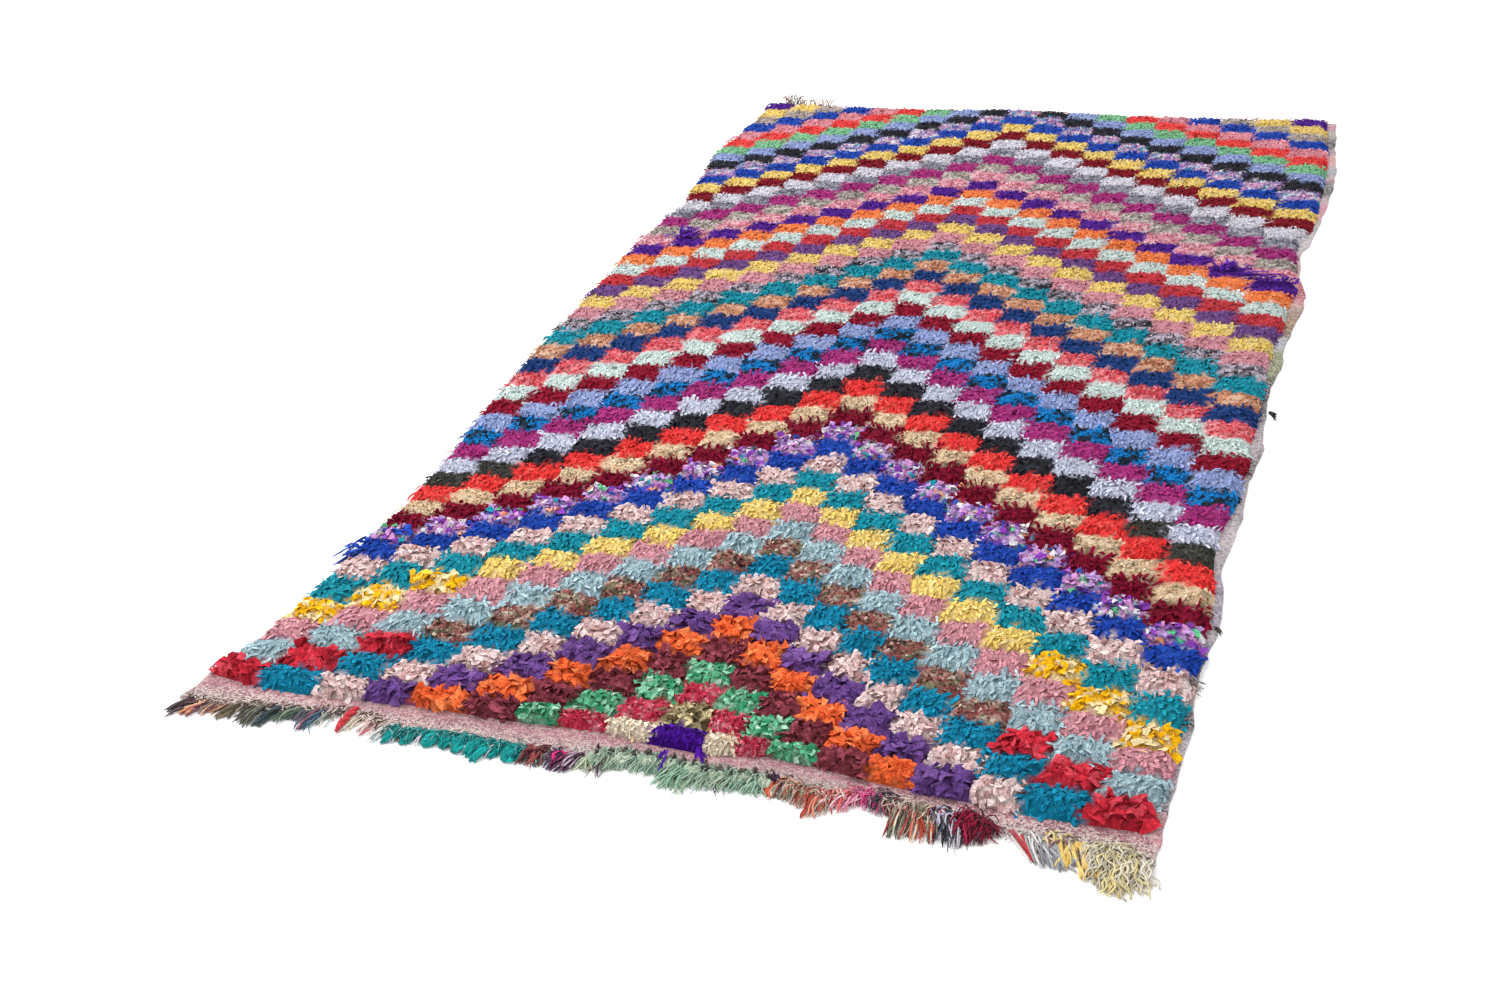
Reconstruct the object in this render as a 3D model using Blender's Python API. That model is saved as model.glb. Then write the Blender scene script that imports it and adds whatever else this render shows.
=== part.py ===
# A boucherouite rug lying flat: rag strips knotted as a thick shaggy pile into a
# flat-woven ground, in blocks that step up to a chevron. A bare hem closes the near
# end, where the warp ends are tied into tassels and looped chains.
#
# Metres, +Z up. +X runs across the rug, +Y from the fringed near end to the far end.
# The origin is on the floor, in the middle of the rug's box.
#
# Blocks are counted in columns from -9 to 9, with 0 on the chevron's axis, and in
# rows from 0 at the near end. A block's middle has whole numbers, so its sides lie
# half a column or row away.

from collections import namedtuple
from math import pi

import bmesh
import bpy
import numpy as np

# Driving dimensions

columns = 19
rows = 48
columnPitch = 0.075
rowPitch = 0.0552
axisShift = -0.010            # the chevron's axis, left of the box's middle
nearRowShift = -1.2703        # the middle of row 0, near end of the box's middle

groundThickness = 0.004
valleyHeight = 0.013          # pile where four blocks meet
shoulderHeight = 0.013        # pile along the rim
crownHeight = 0.026           # pile in the middle of a block
crownSpread = 0.005           # how much one block stands above or below the next
blockJitter = 0.005           # how far a block's corner strays from the even grid
shoulderInset = 0.009         # the pile's rim leans in by this much
nearLean = 0.012              # the near row of knots starts this much further in
leftSelvedge = 0.008
farMargin = 0.004

seam = 0.0003                 # clearance between the hem and the fringe's backing
backingWidth = 0.006
backingThickness = 0.005
middleReach = 0.55            # where a strand's middle lies, as a part of its length
tipHeight = 0.5               # a strand's tip, as a part of its middle's height
seed = 11

# How far the knotting strays from the even grid, in metres, with a row for each
# stretch where it turns. bow draws the columns towards the axis, most at half way
# out, and dip draws the same columns towards the near end.

Guide = namedtuple("Guide", "row leftX axisX rightX leftY axisY rightY bow dip selvedge")

guides = [
    Guide(0, -0.025, 0.030, -0.030, 0.000, -0.005, -0.010, 0.032, 0.000, 0.018),
    Guide(3, 0.000, 0.025, -0.020, 0.005, -0.010, -0.010, 0.026, 0.000, 0.020),
    Guide(6, 0.010, 0.020, -0.015, 0.025, -0.010, 0.005, 0.020, 0.000, 0.022),
    Guide(9, 0.020, 0.020, -0.015, -0.010, 0.000, -0.005, 0.015, 0.000, 0.022),
    Guide(13, 0.015, 0.015, -0.010, -0.030, -0.010, 0.000, 0.010, 0.000, 0.024),
    Guide(17, -0.005, 0.005, 0.000, -0.025, -0.005, 0.010, 0.005, 0.000, 0.022),
    Guide(22, -0.015, -0.005, 0.005, 0.010, 0.010, 0.015, 0.000, 0.000, 0.026),
    Guide(27, -0.005, 0.000, 0.020, 0.020, 0.020, 0.010, 0.000, 0.000, 0.032),
    Guide(31, -0.005, -0.010, 0.015, 0.020, 0.010, 0.005, 0.000, 0.000, 0.010),
    Guide(37, -0.005, -0.005, 0.035, 0.015, -0.010, 0.000, 0.000, 0.000, 0.020),
    Guide(42, -0.030, 0.000, 0.055, 0.000, -0.010, -0.005, 0.000, 0.000, 0.012),
    Guide(47, -0.015, -0.010, 0.040, 0.000, 0.010, -0.015, 0.000, -0.030, 0.016),
]

# The hem's near edge, as its distance before the foot of the pile.

HemPoint = namedtuple("HemPoint", "column depth")

hemPoints = [
    HemPoint(-9.5, 0.026),
    HemPoint(-3.5, 0.034),
    HemPoint(0.5, 0.028),
    HemPoint(3.5, 0.028),
    HemPoint(6.5, 0.042),
    HemPoint(9.5, 0.036),
]

# The fringe, one row for each tied bundle, left to right. A bundle fills whole
# columns. Its strands have a mean length, a middle and a tip that are parts of
# their root's width, a height at the middle, and a splay to the right at the tip.

Bundle = namedtuple(
    "Bundle", "name first last strands length spread middle tip height splay colour")

bundles = [
    Bundle("fringe_brown", -9, -9, 9, 0.072, 0.010, 0.70, 0.45, 0.007, -0.016, "earth"),
    Bundle("fringe_olive", -8, -7, 7, 0.070, 0.008, 0.72, 0.50, 0.008, -0.008, "olive"),
    Bundle("fringe_rose", -6, -6, 8, 0.056, 0.010, 0.70, 0.45, 0.007, -0.004, "rose"),
    Bundle("fringe_emerald", -5, -3, 3, 0.047, 0.006, 0.86, 0.50, 0.011, -0.006, "emerald"),
    Bundle("fringe_plum", -2, -2, 7, 0.054, 0.008, 0.70, 0.45, 0.007, -0.003, "plum"),
    Bundle("fringe_mint", -1, 2, 3, 0.038, 0.008, 0.88, 0.55, 0.011, -0.004, "mint"),
    Bundle("fringe_rust", 3, 4, 8, 0.041, 0.010, 0.70, 0.42, 0.007, -0.002, "rust"),
    Bundle("fringe_pink", 5, 5, 8, 0.036, 0.006, 0.72, 0.45, 0.007, -0.003, "hotPink"),
    Bundle("fringe_moss", 6, 6, 8, 0.060, 0.010, 0.70, 0.42, 0.007, -0.002, "moss"),
    Bundle("fringe_crimson", 7, 7, 8, 0.056, 0.010, 0.70, 0.45, 0.008, 0.000, "crimson"),
    Bundle("fringe_cream", 8, 9, 6, 0.074, 0.012, 0.80, 0.55, 0.010, 0.003, "cream"),
]

# Rim locks, one for each block at the rim, with a mean length and spread for each
# side, and a tip that is a part of the root's width. Two frayed locks by the far
# end's left corner have lengths of their own.

Rim = namedtuple("Rim", "length spread tip")

rims = {
    "left": Rim(0.014, 0.005, 0.45),
    "right": Rim(0.012, 0.005, 0.45),
    "near": Rim(0.011, 0.004, 0.50),
    "far": Rim(0.018, 0.007, 0.40),
}
frayedLengths = {-9: 0.045, -8: 0.078}
frayedTip = 0.22
lockHeights = (0.006, 0.010)  # the underside and the top of a lock's tip

palette = {
    "black": (0.02, 0.02, 0.03), "blue": (0.00, 0.19, 0.56),
    "blush": (0.69, 0.45, 0.45), "brown": (0.30, 0.13, 0.12), "cerulean": (0.01, 0.24, 0.40),
    "coral": (0.87, 0.05, 0.04), "cream": (0.77, 0.62, 0.34), "crimson": (0.30, 0.01, 0.03),
    "dustyPink": (0.60, 0.24, 0.29), "earth": (0.13, 0.06, 0.04), "emerald": (0.00, 0.26, 0.22),
    "grey": (0.36, 0.36, 0.36), "greyBlue": (0.29, 0.44, 0.52), "hotPink": (0.70, 0.07, 0.25),
    "jade": (0.09, 0.45, 0.22), "lavender": (0.70, 0.71, 0.80), "lilac": (0.49, 0.33, 0.65),
    "magenta": (0.43, 0.03, 0.21), "maroon": (0.20, 0.03, 0.05), "mint": (0.50, 0.66, 0.55),
    "mintWhite": (0.68, 0.79, 0.76), "moss": (0.20, 0.17, 0.08), "mutedPurple": (0.14, 0.06, 0.29),
    "navy": (0.01, 0.05, 0.21), "olive": (0.10, 0.10, 0.06), "orange": (0.91, 0.15, 0.03),
    "periwinkle": (0.26, 0.33, 0.65), "pink": (0.75, 0.30, 0.34), "plum": (0.09, 0.02, 0.11),
    "raspberry": (0.69, 0.07, 0.14), "red": (0.58, 0.02, 0.04), "rose": (0.62, 0.16, 0.18),
    "royal": (0.01, 0.07, 0.45), "rust": (0.42, 0.08, 0.04), "salmon": (0.69, 0.29, 0.16),
    "teal": (0.01, 0.27, 0.38), "violet": (0.07, 0.01, 0.30), "wine": (0.19, 0.00, 0.02),
    "yellow": (0.89, 0.62, 0.14),
}
groundColour = "dustyPink"
clothRoughness = 0.95

# The chevron: one colour for each band, from the near end's tip. A block's band is
# its row plus its distance from the axis in columns.

bands = """
    violet cream raspberry jade maroon orange mutedPurple blush cerulean brown greyBlue
    dustyPink yellow teal blush royal lilac wine cream coral black lavender magenta blue
    periwinkle crimson mintWhite raspberry navy salmon teal grey dustyPink yellow
    mutedPurple red mintWhite orange violet pink grey magenta grey lavender maroon yellow
    royal lilac black periwinkle jade red pink royal pink yellow violet
    """.split()

outermost = columns / 2       # the pile's sides, in columns from the axis
nearSide = -0.5               # the pile's ends, in rows
farSide = rows - 0.5
pileRim, pileFoot, groundEdge, underside = range(4)


# Where the knots lie

def guideValues(row):
    """The guides' values, worked out for any row."""
    stations = [guide.row for guide in guides]
    return Guide(row, *(
        float(np.interp(row, stations, [getattr(guide, name) for guide in guides]))
        for name in Guide._fields[1:]))


def knotPlace(column, row):
    """X and Y of a point of the pile that is given in columns and rows."""
    guide = guideValues(row)
    left = max(-column / (outermost - 0.5), 0.0)
    right = max(column / (outermost - 0.5), 0.0)
    axis = 1.0 - left - right
    halfWay = np.sin(pi * min(left + right, 1.0))
    towardsAxis = -np.sign(column) * guide.bow * halfWay
    x = axisShift + column * columnPitch + towardsAxis
    x += left * guide.leftX + axis * guide.axisX + right * guide.rightX
    y = nearRowShift + row * rowPitch + guide.dip * halfWay
    y += left * guide.leftY + axis * guide.axisY + right * guide.rightY
    if row == nearSide:
        y += nearLean
    return x, y


def rimPlace(column, row, ring):
    """X and Y of a point of one of the rings around the pile's rim."""
    x, y = knotPlace(column, row)
    if ring == pileFoot:
        return x, y
    outwards = {pileRim: -shoulderInset}
    if column == -outermost:
        x -= outwards.get(ring, leftSelvedge)
    if column == outermost:
        x += outwards.get(ring, guideValues(row).selvedge)
    if row == nearSide:
        y -= outwards.get(ring, hemDepth(column))
    if row == farSide:
        y += outwards.get(ring, farMargin)
    return x, y


def hemDepth(column):
    return float(np.interp(
        column, [point.column for point in hemPoints], [point.depth for point in hemPoints]))


def isRim(column, row):
    return abs(column) == outermost or row in (nearSide, farSide)


# The pile and its ground, as one solid

def makePileGrid():
    """A flat grid of blocks in columns and rows, with each ring of the rim below it.

    A vertex holds its column, its row and, as its height, the number of its ring.
    """
    mesh = bmesh.new()
    bmesh.ops.create_grid(mesh, x_segments=columns, y_segments=rows, size=0.5)
    for vertex in mesh.verts:
        vertex.co.x = round((vertex.co.x + 0.5) * columns) - outermost
        vertex.co.y = round((vertex.co.y + 0.5) * rows) + nearSide
        vertex.co.z = pileRim
    edges = [edge for edge in mesh.edges if edge.is_boundary]
    for ring in (pileFoot, groundEdge, underside):
        grown = bmesh.ops.extrude_edge_only(mesh, edges=edges)["geom"]
        for item in grown:
            if isinstance(item, bmesh.types.BMVert):
                item.co.z = ring
        edges = [item for item in grown
                 if isinstance(item, bmesh.types.BMEdge) and item.is_boundary]
    bmesh.ops.contextual_create(mesh, geom=edges)
    return mesh


def sortFaces(mesh):
    """The block faces with their column and row, and the pile's side faces."""
    blocks = []
    sides = []
    for face in mesh.faces:
        rings = {int(vertex.co.z) for vertex in face.verts}
        middle = face.calc_center_median()
        if rings == {pileRim}:
            blocks.append((face, round(middle.x), round(middle.y)))
        if rings == {pileRim, pileFoot}:
            sides.append((face, middle.x, middle.y))
    return blocks, sides


def placeVertices(mesh, chance):
    heights = {pileRim: shoulderHeight, pileFoot: groundThickness,
               groundEdge: groundThickness, underside: 0.0}
    for vertex in mesh.verts:
        column, row, ring = vertex.co.x, vertex.co.y, int(vertex.co.z)
        if isRim(column, row):
            vertex.co = (*rimPlace(column, row, ring), heights[ring])
        else:
            x, y = knotPlace(column, row)
            strayX, strayY = chance.uniform(-blockJitter, blockJitter, 2)
            vertex.co = (x + strayX, y + strayY, valleyHeight)


def paintBands(faces, slots):
    """Block and side faces take the colour of the band that their block is in."""
    for face, column, row in faces:
        band = round(min(abs(column), outermost - 0.5) + min(max(row, 0), rows - 1))
        face.material_index = slots.index(bands[band])


def raiseBlocks(mesh, blocks, chance):
    """Each block is poked to a crown of its own height."""
    for face, column, row in blocks:
        raised = bmesh.ops.poke(mesh, faces=[face])["verts"][0]
        raised.co.z = crownHeight + chance.uniform(-crownSpread, crownSpread)


def sideOf(column, row):
    if row == nearSide:
        return "near"
    if row == farSide:
        return "far"
    return "left" if column < 0 else "right"


def drawLocks(mesh, sides, chance):
    """Each side face of the pile is drawn out and narrowed to a lock of rag strips."""
    for face, column, row in sides:
        rim = rims[sideOf(column, row)]
        length = rim.length + chance.uniform(-rim.spread, rim.spread)
        tip = rim.tip
        if row == farSide and column in frayedLengths:
            length = frayedLengths[column]
            tip = frayedTip
        outwards = face.normal.copy()
        outwards.z = 0.0
        outwards.normalize()
        lock = bmesh.ops.extrude_discrete_faces(mesh, faces=[face])["faces"][0]
        middle = lock.calc_center_median()
        for vertex in lock.verts:
            upper = vertex.co.z > middle.z
            vertex.co = middle + (vertex.co - middle) * tip + outwards * length
            vertex.co.z = lockHeights[upper]


def faceOutwards(mesh):
    bmesh.ops.recalc_face_normals(mesh, faces=mesh.faces)
    if mesh.calc_volume(signed=True) < 0.0:
        bmesh.ops.reverse_faces(mesh, faces=mesh.faces)


def makeRug():
    chance = np.random.default_rng(seed)
    slots = list(dict.fromkeys([groundColour] + bands))
    mesh = makePileGrid()
    blocks, sides = sortFaces(mesh)
    paintBands(blocks + sides, slots)
    placeVertices(mesh, chance)
    faceOutwards(mesh)
    raiseBlocks(mesh, blocks, chance)
    drawLocks(mesh, sides, chance)
    addObject("rug", mesh, slots)


# The tied fringe, in bundles

def hemEdge(column):
    return rimPlace(column, nearSide, underside)


def bundleSections(bundle):
    """X and Y of the hem's edge at every strand's sides, a little apart at the ends."""
    sections = []
    for column in range(bundle.first, bundle.last + 1):
        left = np.array(hemEdge(column - 0.5))
        right = np.array(hemEdge(column + 0.5))
        steps = np.arange(bundle.strands) / bundle.strands
        sections += [left + (right - left) * step for step in steps]
    sections.append(np.array(hemEdge(bundle.last + 0.5)))
    sections[0][0] += seam / 2
    sections[-1][0] -= seam / 2
    return sections


def makeBacking(sections):
    """A bar of square section before the hem's edge, with one front face a strand."""
    mesh = bmesh.new()
    profile = [(seam, 0.0), (seam, backingThickness),
               (seam + backingWidth, backingThickness), (seam + backingWidth, 0.0)]
    loops = [[mesh.verts.new((x, y - depth, height)) for depth, height in profile]
             for x, y in sections]
    fronts = []
    for before, after in zip(loops, loops[1:]):
        for k in range(4):
            following = (k + 1) % 4
            face = mesh.faces.new((before[k], before[following], after[following], after[k]))
            if k == 2:
                fronts.append(face)
    mesh.faces.new(loops[0])
    mesh.faces.new(reversed(loops[-1]))
    faceOutwards(mesh)
    return mesh, fronts


def drawStrand(mesh, face, bundle, length, drift):
    """A front face is drawn out in two steps to a strand that lies level on the floor."""
    root = face.calc_center_median()
    halfWidth = max(abs(vertex.co.x - root.x) for vertex in face.verts)
    steps = [(middleReach, bundle.middle, bundle.height),
             (1.0, bundle.tip, bundle.height * tipHeight)]
    for reach, part, height in steps:
        face = bmesh.ops.extrude_discrete_faces(mesh, faces=[face])["faces"][0]
        middle = face.calc_center_median()
        for vertex in face.verts:
            side = 1.0 if vertex.co.x > middle.x else -1.0
            upper = vertex.co.z > middle.z
            vertex.co.x = root.x + side * halfWidth * part + drift * reach ** 2
            vertex.co.y = root.y - length * reach
            vertex.co.z = height if upper else 0.0


def makeBundle(bundle, chance):
    mesh, fronts = makeBacking(bundleSections(bundle))
    reach = bundle.length - backingWidth
    for front in fronts:
        length = reach + chance.uniform(-bundle.spread, bundle.spread)
        drawStrand(mesh, front, bundle, length, bundle.splay)
    addObject(bundle.name, mesh, [bundle.colour])


def makeFringe():
    chance = np.random.default_rng(seed + 1)
    for bundle in bundles:
        makeBundle(bundle, chance)


# Objects and materials

def clothMaterial(colourName):
    name = "rag_" + colourName
    if name in bpy.data.materials:
        return bpy.data.materials[name]
    material = bpy.data.materials.new(name)
    material.use_nodes = True
    shader = material.node_tree.nodes["Principled BSDF"]
    shader.inputs["Base Color"].default_value = (*palette[colourName], 1.0)
    shader.inputs["Roughness"].default_value = clothRoughness
    shader.inputs["Metallic"].default_value = 0.0
    return material


def addObject(name, mesh, colourNames):
    data = bpy.data.meshes.new(name)
    mesh.to_mesh(data)
    mesh.free()
    for colourName in colourNames:
        data.materials.append(clothMaterial(colourName))
    item = bpy.data.objects.new(name, data)
    bpy.context.scene.collection.objects.link(item)
    return item


for leftover in list(bpy.data.objects):
    bpy.data.objects.remove(leftover)
makeRug()
makeFringe()
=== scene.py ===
import bpy
import numpy as np
from mathutils import Matrix, Vector


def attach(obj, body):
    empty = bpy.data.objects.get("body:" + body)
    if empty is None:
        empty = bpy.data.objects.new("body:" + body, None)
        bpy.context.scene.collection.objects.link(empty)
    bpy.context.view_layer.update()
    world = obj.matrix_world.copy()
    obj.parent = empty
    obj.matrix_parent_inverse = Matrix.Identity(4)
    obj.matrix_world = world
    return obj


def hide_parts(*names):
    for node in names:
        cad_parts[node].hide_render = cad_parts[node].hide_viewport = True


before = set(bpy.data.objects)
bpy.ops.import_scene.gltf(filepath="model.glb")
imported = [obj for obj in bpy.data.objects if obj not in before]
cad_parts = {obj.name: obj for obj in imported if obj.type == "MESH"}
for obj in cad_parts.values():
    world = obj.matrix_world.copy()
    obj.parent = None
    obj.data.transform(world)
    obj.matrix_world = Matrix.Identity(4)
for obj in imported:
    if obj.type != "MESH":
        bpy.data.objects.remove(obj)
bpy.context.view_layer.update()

body = "root"
random = np.random.default_rng(35)


def table(text, *units):
    # Numbers in rows of text as an array, each column divided by its unit
    return np.array(text.split(), float).reshape(-1, len(units)) / units


def linear(hexColour):
    # A display colour as the light it stands for
    value = np.array([int(hexColour[k:k + 2], 16) for k in (0, 2, 4)]) / 255
    return np.where(value < 0.04045, value / 12.92, ((value + 0.055) / 1.055) ** 2.4)


# View, floor and light

view = {
    "place": (0.843, -2.876, 1.500),        # metres, in the part's frame
    "ahead": (-0.32934, 0.78608, -0.52308),
    "upwards": (-0.09951, 0.52200, 0.84711),
    "lens": 39.6,                           # millimetres on a 36 mm wide frame
}
studio = {
    "floorSize": 60.0, "floorDrop": 0.0004, "floorColour": (0.92, 0.92, 0.92),
    "skyColour": (1.0, 1.0, 1.0), "skyStrength": 1.12,
    "keyPlace": (-2.2, 0.6, 3.6), "keySize": 3.0, "keyPower": 150.0,
    "floorRoughness": 0.9, "floorShine": 0.1,
}
bpy.context.scene.view_settings.view_transform = "Standard"


def makeView():
    ahead = Vector(view["ahead"]).normalized()
    right = ahead.cross(Vector(view["upwards"])).normalized()
    upwards = right.cross(ahead)
    camera = bpy.data.objects.new("camera", bpy.data.cameras.new("camera"))
    turned = Matrix((right, upwards, -ahead)).transposed().to_4x4()
    turned.translation = view["place"]
    camera.matrix_world = turned
    camera.data.lens = view["lens"]
    camera.data.sensor_width = 36.0
    bpy.context.scene.collection.objects.link(camera)
    bpy.context.scene.camera = camera


def makeStudio():
    half = studio["floorSize"] / 2
    corners = [(-half, -half), (half, -half), (half, half), (-half, half)]
    data = bpy.data.meshes.new("floor")
    data.from_pydata([(x, y, -studio["floorDrop"]) for x, y in corners], [], [(0, 1, 2, 3)])
    floor = bpy.data.objects.new("floor", data)
    bpy.context.scene.collection.objects.link(floor)
    paint = bpy.data.materials.new("pale floor")
    paint.use_nodes = True
    shader = paint.node_tree.nodes["Principled BSDF"]
    shader.inputs["Base Color"].default_value = (*studio["floorColour"], 1.0)
    shader.inputs["Roughness"].default_value = studio["floorRoughness"]
    shader.inputs["Specular IOR Level"].default_value = studio["floorShine"]
    data.materials.append(paint)
    world = bpy.data.worlds.new("studio")
    world.use_nodes = True
    sky = world.node_tree.nodes["Background"]
    sky.inputs["Color"].default_value = (*studio["skyColour"], 1.0)
    sky.inputs["Strength"].default_value = studio["skyStrength"]
    bpy.context.scene.world = world
    key = bpy.data.objects.new("key", bpy.data.lights.new("key", "AREA"))
    key.data.shape = "DISK"
    key.data.size = studio["keySize"]
    key.data.energy = studio["keyPower"]
    key.location = studio["keyPlace"]
    key.rotation_euler = (-Vector(studio["keyPlace"])).to_track_quat("-Z", "Y").to_euler()
    bpy.context.scene.collection.objects.link(key)


makeView()
makeStudio()
print("view, floor and light are set")

# Shader maths

class Wire:
    # A socket that takes Python's operators, each of which adds its Math node
    def __init__(self, tree, socket):
        self.tree = tree
        self.socket = socket

    def maths(self, operation, *values):
        return addNode(self.tree, "ShaderNodeMath", {"operation": operation}, dict(enumerate(values)))

    def __add__(self, other):
        return self.maths("ADD", self, other)

    def __radd__(self, other):
        return self.maths("ADD", other, self)

    def __sub__(self, other):
        return self.maths("SUBTRACT", self, other)

    def __rsub__(self, other):
        return self.maths("SUBTRACT", other, self)

    def __mul__(self, other):
        return self.maths("MULTIPLY", self, other)

    def __rmul__(self, other):
        return self.maths("MULTIPLY", other, self)


def addNode(tree, kind, settings, values, output=0):
    # One node: its settings go in first, then the values or links of its sockets
    node = tree.nodes.new(kind)
    for name, value in settings.items():
        setattr(node, name, value)
    for name, value in values.items():
        if isinstance(value, Wire):
            tree.links.new(value.socket, node.inputs[name])
        else:
            node.inputs[name].default_value = value
    return Wire(tree, node.outputs[output])


clothShine = {"specular": 0.08, "sheenRoughness": 0.6}      # the same for every cloth


def newMaterial(name, look):
    material = bpy.data.materials.new(name)
    material.use_nodes = True
    shader = material.node_tree.nodes["Principled BSDF"]
    fixed = {"Roughness": look["roughness"], "Specular IOR Level": clothShine["specular"],
             "Sheen Weight": look["sheen"], "Sheen Roughness": clothShine["sheenRoughness"],
             "Sheen Tint": (*look["sheenTint"], 1.0)}
    for socket, value in fixed.items():
        shader.inputs[socket].default_value = value
    return material, material.node_tree, shader


ragLook = {
    "roughness": 0.95, "sheen": 0.015, "sheenTint": (1.0, 0.97, 0.95),
    "cloudScale": 38.0, "cloudLow": 0.84, "cloudHigh": 1.14,
    "fibreScale": 420.0, "fibreLow": 0.84, "fibreHigh": 1.14,
    # the crease values paint shade along the creases' lines
    "creaseScale": 120.0, "creaseShare": 1.0, "creaseShade": 0.74, "creaseLight": 1.03, "creaseSteep": 6.0,
    "bumpScale": 260.0, "bumpStrength": 0.6, "bumpDistance": 0.0015,
}


def noise(tree, scale, detail, place):
    return addNode(tree, "ShaderNodeTexNoise", {}, {"Vector": place, "Scale": scale, "Detail": detail})


def between(wave, low, high):
    return wave * (high - low) + low


def mixTints(tree, blend, share, under, over):
    # Two colours mixed by a share, or multiplied
    return addNode(tree, "ShaderNodeMix", {"data_type": "RGBA", "blend_type": blend},
                   {"Factor": share, "A": under, "B": over}, "Result")


def joinUp(tree, shader, look, tint, light, relief):
    # Sends tint times light to the shader's colour, and a bump of the relief to its normal
    shade = addNode(tree, "ShaderNodeCombineColor", {}, {"Red": light, "Green": light, "Blue": light})
    tree.links.new(mixTints(tree, "MULTIPLY", 1.0, tint, shade).socket, shader.inputs["Base Color"])
    bump = addNode(tree, "ShaderNodeBump", {},
                   {"Strength": look["bumpStrength"], "Distance": look["bumpDistance"], "Height": relief})
    tree.links.new(bump.socket, shader.inputs["Normal"])


def placeAndTint(tree):
    return (addNode(tree, "ShaderNodeTexCoord", {}, {}, "Object"),
            addNode(tree, "ShaderNodeAttribute", {"attribute_name": "tint"}, {}, "Color"))


def ragMaterial(name, look):
    # Light is a slow cloud times fine fibres and painted shade along the creases; relief is fibres and
    # creases
    material, tree, shader = newMaterial(name, look)
    place, tint = placeAndTint(tree)
    cloud = between(noise(tree, look["cloudScale"], 2.0, place), look["cloudLow"], look["cloudHigh"])
    fibre = between(noise(tree, look["fibreScale"], 3.0, place), look["fibreLow"], look["fibreHigh"])
    creases = addNode(tree, "ShaderNodeTexVoronoi", {"feature": "DISTANCE_TO_EDGE"},
                      {"Vector": place, "Scale": look["creaseScale"]})
    valley = creases.maths("MINIMUM", creases * look["creaseSteep"], 1.0)
    light = cloud * fibre * between(valley, look["creaseShade"], look["creaseLight"])
    relief = noise(tree, look["bumpScale"], 4.0, place) + valley * look["creaseShare"]
    joinUp(tree, shader, look, tint, light, relief)
    return material


ragCloth = ragMaterial("rag cloth", ragLook)

# Where the knots lie

rug = {
    "columns": 19, "rows": 48, "columnPitch": 0.075, "rowPitch": 0.0552,
    "axisShift": -0.010, "nearRowShift": -1.2703,
    "ground": 0.004, "leftSelvedge": 0.008, "hemFlare": 0.010, "farMargin": 0.004,
}
guideNames = "row leftX axisX rightX leftY axisY rightY bow dip".split()
# How far each side and the axis are shifted, by row; millimetres here and in the next tables
guides = table("""
        0   -25    30   -28     0     4     0    32     0
        3     0    25   -16     5   -10   -10    26     0
        6    10    20   -10    25   -10     5    20     0
        9    20    20    -9   -10     0    -5    15     0
       13    15    15    -9   -30   -10     0    10     0
       17    -5     5     4   -25    -5    10     5     0
       22   -15    -5     8    10    10    15     0     0
       27    -5     0    24    20    20    10     0     0
       31    -5   -10    22    20    10     5     0     0
       37    -5    -5    45    15   -10     0     0     0
       42   -30     0    56     0   -10    -5     0     0
       47   -15   -10    42    22    12   -15     0   -18
    """, 1, *[1000] * 8)
# Right side: row, x of the pile's edge and x of the cloth's edge
rightSide = table("""
    -0.5 674 686.5  0.6 676 690  1.4 686 691  2.3 690 694  3.4 684 699.5  4.2 689 699  5.3 690 691.5
    6.5 700 701  7.2 691 705  8.3 697 712.5  9.2 698 710  11 686 696  12.2 684 707.5  13.2 695 713
    14.4 707 715.5  15.4 706 713  16.3 713 721.5  17.3 707 728  18.6 712 723  20.5 712 722.5  21.2 712 719.5
    23 714 735.5  24.3 714 733  26 729 744  27.7 730 758  29 743 758  30.4 738 740  32.6 726 735
    33.7 732 752  34.8 753 759  37 759 770.5  40 763 782  42 762 783  43.6 760 775  46.1 749 770
    47.5 748 766
    """, 1, 1000, 1000)
# Near row: column, and how far its blocks are shifted in x and, at the pile's edge, in y
nearRow = table("""
    -9.5 -13 26  -8.5 -16 13  -7.5 1 10  -6.5 -6 18  -5.5 -15 24  -4.5 -14 25  -3.5 -2 25  -2.5 -12 28
    -1.5 -11 31  -0.5 -11 22  0.5 8 18  1.5 0 25  2.5 -18 35  3.5 -10 30  4.5 -2 21  5.5 -10 14  6.5 -3 9
    7.5 -18 5  8.5 -13 6  9.5 0 8
    """, 1, 1000, 1000)
# Left side: row, and how far the pile's edge is shifted in x
leftSide = table("""
    22 0  23.5 4  25 -10  26.5 -6  28.1 -14  29 -10  30.5 -18  31.5 -4  33 -2  34.1 15  35.1 3  36.1 -8
    38.7 -6  40 -13  41.1 -14  42.2 -3  44 4  46 4  47 -4
    """, 1, 1000)
# Inner blocks of the right side: row, and the shift in x at columns 6.5 and 8.5
innerShift = table("""
    6 0 0  7 0 -14  10 0 -12  13 0 0  16 -3 -7  19 -9 -10  23 -9 -10  26 -12 -9  28 -16 -6  47 -16 -6
    """, 1, 1000, 1000)
uneven = {"x": 0.0030, "y": 0.0024}     # how far the blocks' corners stray, in metres
outermost = rug["columns"] / 2
farSide = rug["rows"] - 0.5


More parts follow.
